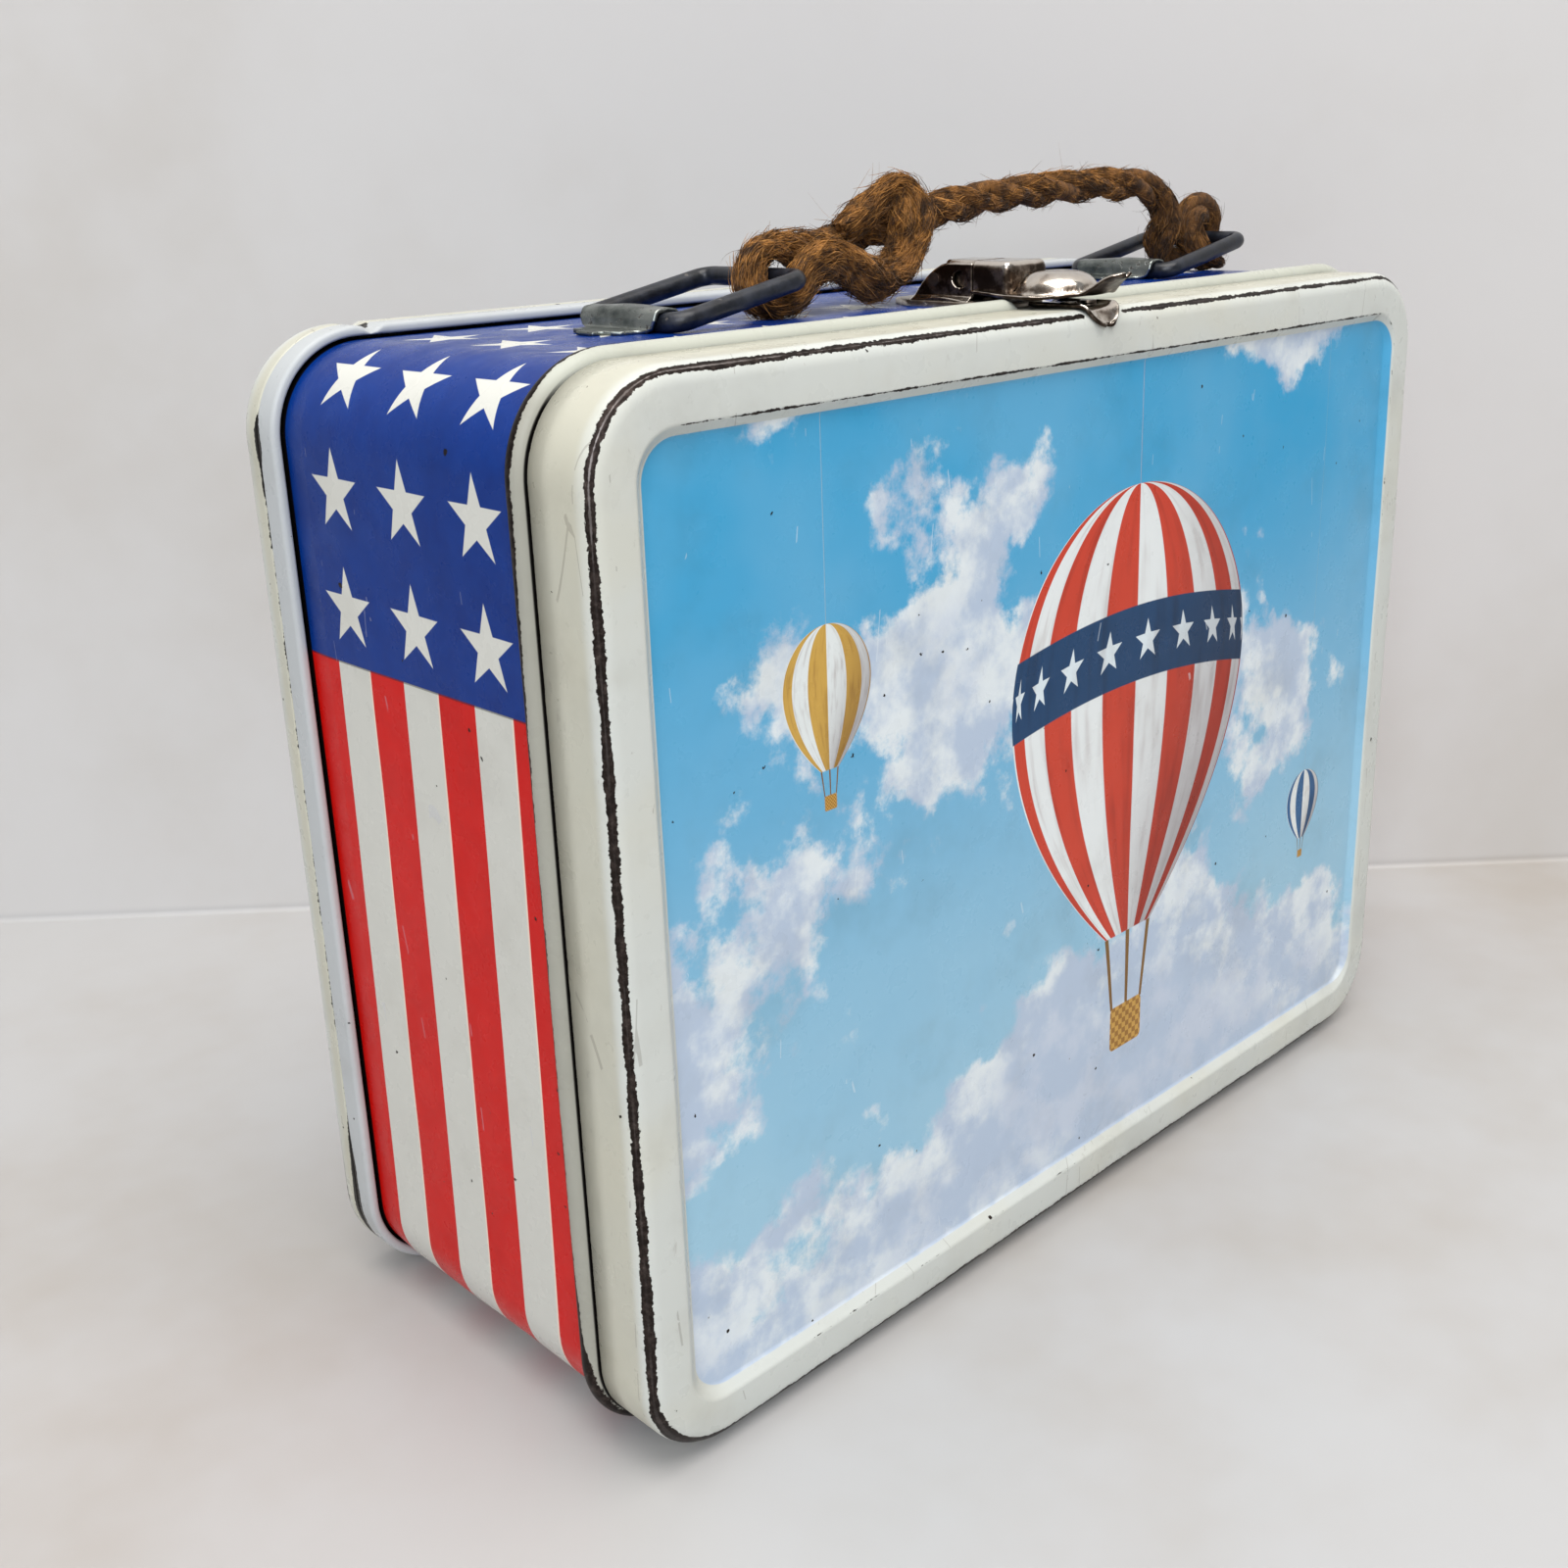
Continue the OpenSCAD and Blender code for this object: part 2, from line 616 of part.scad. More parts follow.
module clip_ear_left() { clip_ear(-1); }
module clip_ear_right() { clip_ear(1); }

module clip_rivets() {
    foot_y = -back_f - panel_drop - sheet_t;
    color("silver") set_back() for (s = [-1, 1]) translate([clip_foot_x(s), foot_y, clip_z]) {
        translate([0, -ear_t, 0]) rotate([90, 0, 0]) cylinder(h = 0.6, r = 2.2);
        translate([0, sheet_t + eps, 0]) rotate([90, 0, 0])
            cylinder(h = sheet_t + ear_t + 2*eps, r = rivet_r);
        translate([0, sheet_t + 0.6, 0]) rotate([90, 0, 0]) cylinder(h = 0.6, r = 2.2);
    }
}

body_band();
neck_ring();
back_panel();
lid_pan();
hinge_pin();
latch_base();
latch_lever();
latch_pin();
latch_spring();
latch_rivets();
catch_plate();
catch_rivets();
handle_bracket_left();
handle_bracket_right();
handle_loop_left();
handle_loop_right();
handle_rope();
bottle_clip();
clip_ear_left();
clip_ear_right();
clip_rivets();
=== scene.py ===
import math

import bmesh
import bpy
import numpy as np
from mathutils import Matrix, Vector


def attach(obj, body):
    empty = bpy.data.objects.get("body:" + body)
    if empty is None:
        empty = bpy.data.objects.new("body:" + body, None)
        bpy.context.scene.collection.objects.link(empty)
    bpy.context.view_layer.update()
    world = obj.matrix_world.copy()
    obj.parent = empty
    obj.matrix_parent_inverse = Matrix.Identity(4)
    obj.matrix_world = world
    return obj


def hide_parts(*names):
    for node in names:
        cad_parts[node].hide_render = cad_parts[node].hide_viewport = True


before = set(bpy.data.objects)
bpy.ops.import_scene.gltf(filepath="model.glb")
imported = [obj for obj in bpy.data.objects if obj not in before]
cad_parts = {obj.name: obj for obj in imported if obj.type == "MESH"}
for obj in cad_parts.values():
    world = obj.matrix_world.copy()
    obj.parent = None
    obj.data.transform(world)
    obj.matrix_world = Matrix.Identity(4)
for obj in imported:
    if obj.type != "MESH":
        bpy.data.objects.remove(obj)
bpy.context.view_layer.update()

MM = 0.001

# The box's main lines, in mm
CORNER_X = 94.0                 # centres of the rounded corners, each side of the middle
CORNER_Z = (17.0, 156.0)        # centres of the lower and upper corners
MIDDLE_Y = 2.0                  # middle of the box along Y
BAND_R = 15.1                   # band's face from the corner centre
LID_R = 15.4                    # lid's wall
RIM_R = 17.0                    # rear rim
BAND_TOP = CORNER_Z[1] + BAND_R
SHEET = 0.5                     # tinplate
LID_OPEN, LID_FACE = -29.2, -42.0       # Y of the lid's open edge and of its border
BEAD_Y, BEAD_R = -27.0, 1.9     # the band's front bead: Y of its middle, and its height
FRONT_EDGE = BEAD_Y - BEAD_R    # Y of the band's front edge
RIM_FRONT, BACK_FACE = 36.4, 46.0       # Y of the rear rim's front edge and of the back's border
RIM_GROOVE = 41.2               # Y of the groove in the rear rim
HINGE_Y, HINGE_Z = -27.0, 1.9   # the hinge's wire
BOX_LEAF_Y, LID_LEAF_Y = -25.1, -29.3   # Y where the hinge's leaves meet the band and the lid
KNUCKLE_R, BORE_R = 1.9, 0.95   # of the hinge's knuckles
KNUCKLES, HINGE_LENGTH = 9, 162.0       # how many in all, and along how much of the box


def put_in_scene(name, data):
    """A new object of the given data, in the scene."""
    thing = bpy.data.objects.new(name, data)
    bpy.context.scene.collection.objects.link(thing)
    return thing


# ---------- camera ----------

CAMERA_PLACE = (-0.2405, -0.21737, 0.19539)      # m
CAMERA_TURN = (-44.62, 18.41, -1.67)             # azimuth, elevation and roll, degrees
LENS, SENSOR = 39.505, 36                        # mm
AXIS_SHIFT = (-0.02903, -0.02962)                # shares of the frame
CLIP = (0.02, 20)                                # nearest and farthest that it sees, m


def aim_camera():
    """Pinhole camera: its back direction comes from its azimuth and elevation, and its side and top
    directions are turned about that by its roll."""
    azimuth, elevation, roll = map(math.radians, CAMERA_TURN)
    back = Vector((math.sin(azimuth)*math.cos(elevation), -math.cos(azimuth)*math.cos(elevation),
                   math.sin(elevation)))
    side = Vector((math.cos(azimuth), math.sin(azimuth), 0))
    up = back.cross(side)
    right = math.cos(roll)*side + math.sin(roll)*up
    top = math.cos(roll)*up - math.sin(roll)*side
    data = bpy.data.cameras.new("camera")
    data.lens, data.sensor_width = LENS, SENSOR
    data.shift_x, data.shift_y = AXIS_SHIFT
    data.clip_start, data.clip_end = CLIP
    camera = put_in_scene("camera", data)
    turned = Matrix((right, top, back)).transposed().to_4x4()
    camera.matrix_world = Matrix.Translation(CAMERA_PLACE) @ turned
    bpy.context.scene.camera = camera


aim_camera()


# ---------- meshes ----------

def put_mesh(name, points, faces, body, materials, uv=None, material_of=None, smooth=True):
    """A mesh object from arrays: points (n, 3) in mm, faces (m, 4) or (m, 3) with -1 in the fourth place
    where a face has three corners, uv (m, 4, 2) in metres, and each face's material number."""
    faces = np.asarray(faces)
    if faces.shape[1] == 3:
        faces = np.hstack([faces, np.full((len(faces), 1), -1)])
        if uv is not None:
            uv = np.concatenate([uv, uv[:, :1]], axis=1)
    keep = faces >= 0
    counts = keep.sum(1)
    mesh = bpy.data.meshes.new(name)
    mesh.vertices.add(len(points))
    mesh.vertices.foreach_set("co", (np.asarray(points, float)*MM).astype(np.float32).ravel())
    mesh.loops.add(int(counts.sum()))
    mesh.loops.foreach_set("vertex_index", faces[keep].astype(np.int32))
    mesh.polygons.add(len(faces))
    starts = np.cumsum(counts) - counts
    mesh.polygons.foreach_set("loop_start", starts.astype(np.int32))
    mesh.update(calc_edges=True)
    mesh.polygons.foreach_set("use_smooth", np.full(len(faces), smooth))
    if uv is not None:
        mesh.uv_layers.new(name="UVMap").data.foreach_set("uv", uv[keep].astype(np.float32).ravel())
    for material in materials:
        mesh.materials.append(material)
    if material_of is not None:
        mesh.polygons.foreach_set("material_index", np.asarray(material_of, np.int32))
    mesh.validate()
    mesh.update()
    piece = put_in_scene(name, mesh)
    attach(piece, body)
    return piece


def set_attribute(piece, name, values):
    """A number at each vertex, for the materials."""
    piece.data.attributes.new(name, "FLOAT", "POINT").data.foreach_set(
        "value", np.asarray(values, np.float32).ravel())


def unit(vectors):
    """The vectors, each brought to length 1."""
    return vectors/np.linalg.norm(vectors, axis=-1, keepdims=True)


def distances(points):
    """How far each point lies along the line from the first."""
    return np.append(0, np.cumsum(np.linalg.norm(np.diff(points, axis=0), axis=1)))


def volume_sign(points, faces):
    """Sign of a closed mesh's volume: the sum over its faces of the corners' triple products."""
    quads = np.where(faces < 0, faces[:, :1], faces)
    a, b, c, d = (points[quads[:, i]] for i in range(4))
    return np.sign((np.cross(a, b)*c + np.cross(a, c)*d).sum())


def grid_faces(rows, columns, around=False, closed=False):
    """Faces of a grid of rows of points: each joins two neighbours of one row to those of the next.
    The columns run round where around is set, and the last row joins the first where closed is set."""
    i = np.arange(rows if closed else rows - 1)[:, None]
    j = np.arange(columns if around else columns - 1)[None, :]
    near, far = (i % rows)*columns, ((i + 1) % rows)*columns
    j, k = j % columns, (j + 1) % columns
    return np.stack(np.broadcast_arrays(near + j, near + k, far + k, far + j), -1).reshape(-1, 4)


# ---------- sheet carried round the box ----------

STRAIGHT_STEP, CORNER_STEPS = 1.25, 26         # mm between points, and steps in a corner


def box_line():
    """Once round the rounded rectangle from the middle of its underside: up the -X end, over the top
    and down the +X end. Gives the corner centre or straight line each point belongs to, the outward
    direction, and the distance along the band's face from the middle of the top, + towards -X."""
    low, high = CORNER_Z
    half, side = int(CORNER_X/STRAIGHT_STEP), int((high - low)/STRAIGHT_STEP)
    turn = np.linspace(0, math.pi/2, CORNER_STEPS + 1)[1:-1]
    # the straight runs: from, to, steps, and the angle that each faces; a corner comes before each
    # but the first
    runs = [((0, low), (-CORNER_X, low), half, 270), ((-CORNER_X, low), (-CORNER_X, high), side, 180),
            ((-CORNER_X, high), (CORNER_X, high), 2*half, 90),
            ((CORNER_X, high), (CORNER_X, low), side, 0), ((CORNER_X, low), (0, low), half, -90)]
    centre, angle = [], []
    for start, end, steps, faces in runs:
        if centre:
            centre.append(np.tile(start, (len(turn), 1)))
            angle.append(math.radians(faces + 90) - turn)
        centre.append(np.linspace(start, end, steps + 1))
        angle.append(np.full(steps + 1, math.radians(faces)))
    centre, angle = np.concatenate(centre)[:-1], np.concatenate(angle)[:-1]
    out = np.stack([np.cos(angle), np.sin(angle)], 1)
    face = centre + BAND_R*out
    s = distances(face)
    total = s[-1] + np.linalg.norm(face[0] - face[-1])
    return centre, out, total/2 - s, total


CENTRE, OUT, RUN, TOTAL = box_line()
RUN_NEXT = np.append(RUN, RUN[-1] - (TOTAL - (RUN[0] - RUN[-1])))   # with the closing point


def rounded(corners, radii, steps=6):
    """A line through corners, each rounded by an arc of its radius, and the distance along it."""
    corners = np.asarray(corners, float)
    points = [corners[0]]
    for before, at, after, radius in zip(corners, corners[1:], corners[2:], radii):
        u, v = before - at, after - at
        lu, lv = np.linalg.norm(u), np.linalg.norm(v)
        u, v = u/lu, v/lv
        half = math.acos(max(-1, min(1, float(u @ v))))/2
        if radius <= 0 or half > math.radians(89):
            points.append(at)
            continue
        cut = min(radius/math.tan(half), 0.49*lu, 0.49*lv)
        radius = cut*math.tan(half)
        middle = at + (u + v)/np.linalg.norm(u + v)*radius/math.sin(half)
        a = at + u*cut - middle
        b = at + v*cut - middle
        sweep = math.acos(max(-1, min(1, float(a @ b)/radius**2)))
        for t in np.linspace(0, 1, steps + 1):
            points.append(middle + (math.sin((1 - t)*sweep)*a + math.sin(t*sweep)*b)/math.sin(sweep))
    points.append(corners[-1])
    points = np.array(points)
    keep = np.append(True, np.linalg.norm(np.diff(points, axis=0), axis=1) > 1e-6)
    return points[keep], distances(points[keep])


def refine(points, length, longest):
    """The same line with points added so that no stretch is longer than the given one."""
    counts = np.maximum(1, np.ceil(np.diff(length)/longest).astype(int))
    marks = np.concatenate([length[i] + np.arange(n)/n*(length[i + 1] - length[i])
                            for i, n in enumerate(counts)] + [[length[-1]]])
    return np.stack([np.interp(marks, length, points[:, i]) for i in (0, 1)], 1), marks


def inner_line(points, thickness):
    """The line set off by the sheet's thickness along its normals, to the right of its direction."""
    tangent = unit(np.gradient(points, axis=0))
    return points + thickness*np.stack([tangent[:, 1], -tangent[:, 0]], 1)


def carried(line, shift=None):
    """Points of a profile line (distance out, Y) carried round the box: an array (line, round, 3).
    shift (line, round) moves each point outwards."""
    r = line[:, 0][:, None] + (0 if shift is None else shift)
    x = CENTRE[:, 0] + r*OUT[:, 0]
    z = CENTRE[:, 1] + r*OUT[:, 1]
    return np.stack([x, np.broadcast_to(line[:, 1][:, None], x.shape), z], -1)


def to_middle(ring, steps):
    """Rings between a ring and the middle of its panel: the ring scaled about the middle, down to a
    small one, spaced evenly."""
    middle = np.array([0, ring[:, 1].mean(), sum(CORNER_Z)/2])
    scale = np.linspace(1, 0, steps + 1)[1:-1]
    return middle + scale[:, None, None]*(ring - middle), middle


def ring_mesh(rings, v, poles=None):
    """Faces and UVs of rings (rings, round, 3) with the profile distance v of each ring. Without poles
    the last ring joins the first; with poles a point closes each end. Returns points, faces, uv."""
    count, around = rings.shape[:2]
    points = rings.reshape(-1, 3)
    faces = grid_faces(count, around, around=True, closed=poles is None)
    u = np.stack([RUN_NEXT[:-1], RUN_NEXT[1:], RUN_NEXT[1:], RUN_NEXT[:-1]], 1)
    v = np.append(v, v[0])
    rows = count if poles is None else count - 1
    uv = np.empty((rows, around, 4, 2))
    uv[..., 0] = u
    uv[..., 1] = np.stack([v[:rows], v[:rows], v[1:rows + 1], v[1:rows + 1]], 1)[:, None]
    uv = uv.reshape(-1, 4, 2)
    if poles is not None:
        points = np.vstack([points, poles])
        i = np.arange(around)
        k = (i + 1) % around
        none = np.full(around, -1)
        last = (count - 1)*around
        start = np.stack([np.full(around, len(points) - 2), k, i, none], 1)
        end = np.stack([np.full(around, len(points) - 1), last + i, last + k, none], 1)
        faces = np.vstack([faces, start, end])
        caps = np.zeros((2*around, 4, 2))
        caps[:around, :, 1], caps[around:, :, 1] = v[0], v[count - 1]
        caps[:, :, 0] = np.tile(RUN_NEXT[:-1], 2)[:, None]
        uv = np.concatenate([uv, caps])
    if volume_sign(points, faces) < 0:
        faces = np.where(faces[:, 3:] < 0, faces[:, [0, 2, 1, 3]], faces[:, [0, 3, 2, 1]])
        uv = np.where(faces[:, 3:, None] < 0, uv[:, [0, 2, 1, 3]], uv[:, [0, 3, 2, 1]])
    return points, faces, uv*MM


def bump_between(x, low, high, soft):
    """1 between low and high, 0 outside, with smooth shoulders of the given width."""
    rise = np.clip((x - low)/soft + 0.5, 0, 1)
    fall = np.clip((high - x)/soft + 0.5, 0, 1)
    return (rise*rise*(3 - 2*rise))*(fall*fall*(3 - 2*fall))


def waves(a, b, seed, longest, count=10):
    """Gentle unevenness, -1 to 1: a sum of waves over (a, b) with seeded directions and lengths from
    the longest down to a third of it."""
    rng = np.random.default_rng(seed)
    total = 0
    for _ in range(count):
        angle, phase = rng.uniform(0, 2*math.pi, 2)
        k = 2*math.pi/(longest*rng.uniform(0.33, 1))
        total = total + np.sin(k*(a*math.cos(angle) + b*math.sin(angle)) + phase)
    return total/count**0.5/1.5


# ---------- materials ----------

def hex_colour(code):
    """Linear RGBA of an sRGB hex colour."""
    parts = [int(code[i:i + 2], 16)/255 for i in (1, 3, 5)]
    return tuple(c/12.92 if c <= 0.04045 else ((c + 0.055)/1.055)**2.4 for c in parts) + (1.0,)


def add(tree, kind, *inputs, out=0, stops=(), **settings):
    """Adds a shader node. kind is its type, with its operation after a dot. inputs go to its sockets
    in order, or by the names in a dict; a socket is linked, and anything else is set as its value,
    a hex colour as its linear one. stops are a colour ramp's places and colours. Gives the node's
    output socket."""
    kind, _, operation = kind.partition(".")
    node = tree.nodes.new("ShaderNode" + kind)
    if operation:
        node.operation = operation
    for key, value in settings.items():
        setattr(node, key, value)
    for place, colour in stops:
        elements = node.color_ramp.elements
        stop = elements[0] if place <= 0 else elements[-1] if place >= 1 else elements.new(place)
        stop.color = hex_colour(colour)
    pairs = inputs[0].items() if inputs and isinstance(inputs[0], dict) else enumerate(inputs)
    for key, value in pairs:
        if isinstance(value, bpy.types.NodeSocket):
            tree.links.new(value, node.inputs[key])
        else:
            node.inputs[key].default_value = hex_colour(value) if isinstance(value, str) else value
    return node.outputs[out]


def blend_colour(tree, share, first, second, amount=1, mode="MIX"):
    """first where share is 0, and second, or only that amount of it, where share is 1."""
    if amount != 1:
        share = add(tree, "Math.MULTIPLY", share, amount)
    return add(tree, "Mix", {0: share, 6: first, 7: second}, out=2, data_type="RGBA", blend_type=mode)


def new_material(name):
    """An empty node material: gives it, its tree, and the place in mm along X, Y and Z."""
    material = bpy.data.materials.new(name)
    material.use_nodes = True
    tree = material.node_tree
    tree.nodes.clear()
    place = add(tree, "TexCoord", out=3)
    mm = add(tree, "VectorMath.SCALE", {0: place, "Scale": 1/MM})
    return material, tree, mm


def surface_of(tree, colour, roughness, metallic, height, **more):
    """Surface shader of the given colour and finish, raised by height in mm. more are its other
    sockets, with _ for a space."""
    normal = add(tree, "Bump", {"Height": height, "Strength": 1.0, "Distance": MM})
    named = {key.replace("_", " "): value for key, value in more.items()}
    return add(tree, "BsdfPrincipled", {"Base Color": colour, "Roughness": roughness,
                                        "Metallic": metallic, "Normal": normal, **named})


def finish_material(tree, surface):
    """Links the surface shader to the output."""
    tree.links.new(surface, tree.nodes.new("ShaderNodeOutputMaterial").inputs[0])


def sheet_way(tree, way):
    """Distance in mm on a sheet's own map: round the box for way 0, along its profile for way 1."""
    place = add(tree, "VectorMath.SCALE", {0: add(tree, "TexCoord", out=2), "Scale": 1/MM})
    return add(tree, "SeparateXYZ", place, out=way)


def away_from(tree, value, place):
    """How far the value lies from a place, to either side."""
    return add(tree, "Math.ABSOLUTE", add(tree, "Math.SUBTRACT", value, place))


def length_of(tree, a, b):
    """Length of the line with legs a and b: the root of the sum of their squares."""
    return add(tree, "Math.SQRT", add(tree, "Math.ADD", add(tree, "Math.MULTIPLY", a, a),
                                      add(tree, "Math.MULTIPLY", b, b)))


def ramp(tree, value, low, high, to_low=0.0, to_high=1.0, smooth=True):
    """value carried from low..high to to_low..to_high, held at the ends."""
    return add(tree, "MapRange", {"Value": value, "From Min": low, "From Max": high,
                                  "To Min": to_low, "To Max": to_high},
               interpolation_type="SMOOTHSTEP" if smooth else "LINEAR")


def grain(tree, where, size, detail=2.0, roughness=0.5, stretch=None):
    """Noise, 0 to 1, with features of the given size in mm, drawn out by the stretch factors."""
    if stretch:
        where = add(tree, "VectorMath.DIVIDE", where, stretch)
    return add(tree, "TexNoise", {"Vector": where, "Scale": 1/size, "Detail": detail,
                                  "Roughness": roughness})


def worn_line(tree, mm, distance, half_width, ragged):
    """Where paint is worn off along a line: 1 nearer to it than half_width mm, with an edge that
    wanders by the ragged amount and by small nicks."""
    wander = add(tree, "Math.MULTIPLY_ADD", grain(tree, mm, 5.0, 1.0), 2*ragged, -ragged)
    nicks = add(tree, "Math.MULTIPLY_ADD", grain(tree, mm, 0.9, 3.0, 0.7), 2.6*ragged, -1.3*ragged)
    away = add(tree, "Math.ABSOLUTE", distance)
    inside = add(tree, "Math.SUBTRACT", half_width, away)
    inside = add(tree, "Math.ADD", inside, wander)
    inside = add(tree, "Math.ADD", inside, nicks)
    return ramp(tree, inside, -0.06, 0.06)


def specks(tree, mm, size, radius, share, seed):
    """Small round chips: near some of the points of a scatter with the given spacing in mm."""
    moved = add(tree, "VectorMath.ADD", mm, (seed*37.0, seed*11.0, seed*23.0))
    bent = add(tree, "TexNoise", {"Vector": moved, "Scale": 1.6, "Detail": 2.0}, out=1)
    bent = add(tree, "VectorMath.MULTIPLY_ADD", bent, (0.9, 0.9, 0.9), moved)
    near = add(tree, "TexVoronoi", {"Vector": bent, "Scale": 1/size})
    cell = add(tree, "TexVoronoi", {"Vector": bent, "Scale": 1/size}, out=1)
    chosen = add(tree, "Math.LESS_THAN", add(tree, "SeparateColor", cell), share)
    close = add(tree, "Math.LESS_THAN", near, radius/size)
    return add(tree, "Math.MULTIPLY", chosen, close)


def scratches(tree, mm, spacing, width, turn, seed, share):
    """Fine scratches: thin borders of cells drawn out along one direction, kept in patches. Real ones
    are a few hundredths of a millimetre wide; these are as wide as they need to be to show."""
    turned = add(tree, "Mapping", {"Vector": mm, "Location": (seed*31.0, seed*7.0, seed*13.0),
                                   "Rotation": turn, "Scale": (1.0, 1.0, 0.12)})
    bent = add(tree, "TexNoise", {"Vector": turned, "Scale": 0.03, "Detail": 1.0}, out=1)
    bent = add(tree, "VectorMath.MULTIPLY_ADD", bent, (14.0, 14.0, 14.0), turned)
    edge = add(tree, "TexVoronoi", {"Vector": bent, "Scale": 1/spacing}, feature="DISTANCE_TO_EDGE")
    thin = add(tree, "Math.LESS_THAN", edge, width/spacing)
    patch = grain(tree, add(tree, "VectorMath.ADD", mm, (seed*5.0, 0.0, seed*9.0)), 9.0, 2.0, 0.6)
    kept = add(tree, "Math.GREATER_THAN", patch, 1 - share)
    return add(tree, "Math.MULTIPLY", thin, kept)


def star(tree, a, b, radius, waist=0.40):
    """Signed distance inside a five-pointed star with a point towards -a: the plane is folded onto
    half a point, where the star's edge is one straight line."""
    angle = add(tree, "Math.ARCTAN2", b, add(tree, "Math.MULTIPLY", a, -1.0))
    fold = add(tree, "Math.ABSOLUTE", add(tree, "Math.WRAP", angle, math.pi/5, -math.pi/5))
    far = length_of(tree, a, b)
    px = add(tree, "Math.MULTIPLY", far, add(tree, "Math.COSINE", fold))
    py = add(tree, "Math.MULTIPLY", far, add(tree, "Math.SINE", fold))
    edge = np.array([waist*math.cos(math.pi/5) - 1, waist*math.sin(math.pi/5)])
    edge /= np.linalg.norm(edge)
    rise = add(tree, "Math.MULTIPLY", py, float(edge[0]))
    run = add(tree, "Math.MULTIPLY", add(tree, "Math.SUBTRACT", px, radius), float(edge[1]))
    return add(tree, "Math.SUBTRACT", rise, run)


def painted_surface(tree, paint, bare, mm, varnish, dirt, gleam=0.28, rubbed_and_highlit=0.0):
    """Printed tinplate: old, thin varnish over the paint and steel, which shows where bare is 1 and is
    made lighter by the last argument: rubbed bright, with a painted highlight. The print has faint
    grime, fine unevenness of the varnish, and a step at the paint's edge."""
    grime = grain(tree, mm, 16.0, 4.0, 0.62)
    grime = ramp(tree, grime, 0.45, 0.8, 0.0, dirt)
    paint = blend_colour(tree, grime, paint, "#8d8069", mode="MULTIPLY")
    dust = specks(tree, mm, 9.0, 0.22, 0.35, 4)
    paint = blend_colour(tree, dust, paint, "#4b3f34", 0.75)
    rust = grain(tree, mm, 1.3, 4.0, 0.7)
    steel = add(tree, "ValToRGB", rust, stops=[
        (0, "#16110f"), (0.46, "#241d1a"), (0.64, "#3f3632"), (1, "#766d67")])
    # steel made lighter where it is rubbed bright and where a highlight is painted
    steel = blend_colour(tree, rubbed_and_highlit, steel, "#8d8683")
    shade = blend_colour(tree, bare, paint, steel)
    fine = grain(tree, mm, 0.35, 2.0)
    height = add(tree, "Math.MULTIPLY_ADD", bare, -0.05, add(tree, "Math.MULTIPLY", fine, 0.006))
    height = add(tree, "Math.ADD", height, add(tree, "Math.MULTIPLY", grain(tree, mm, 11.0, 2.0), 0.05))
    gloss = ramp(tree, grain(tree, mm, 6.0, 3.0, 0.6), 0.3, 0.75, varnish - 0.05, varnish + 0.12)
    rough = add(tree, "Mix", {0: bare, 2: gloss, 3: 0.46}, data_type="FLOAT")
    metal = add(tree, "Math.MULTIPLY", bare, 0.75)
    return surface_of(tree, shade, rough, metal, height, Specular_IOR_Level=gleam)


IVORY = "#cbcec8"
SKY_TOP, SKY_LOW, CLOUD = "#2f9ccb", "#9cc4d8", "#dfe6e8"


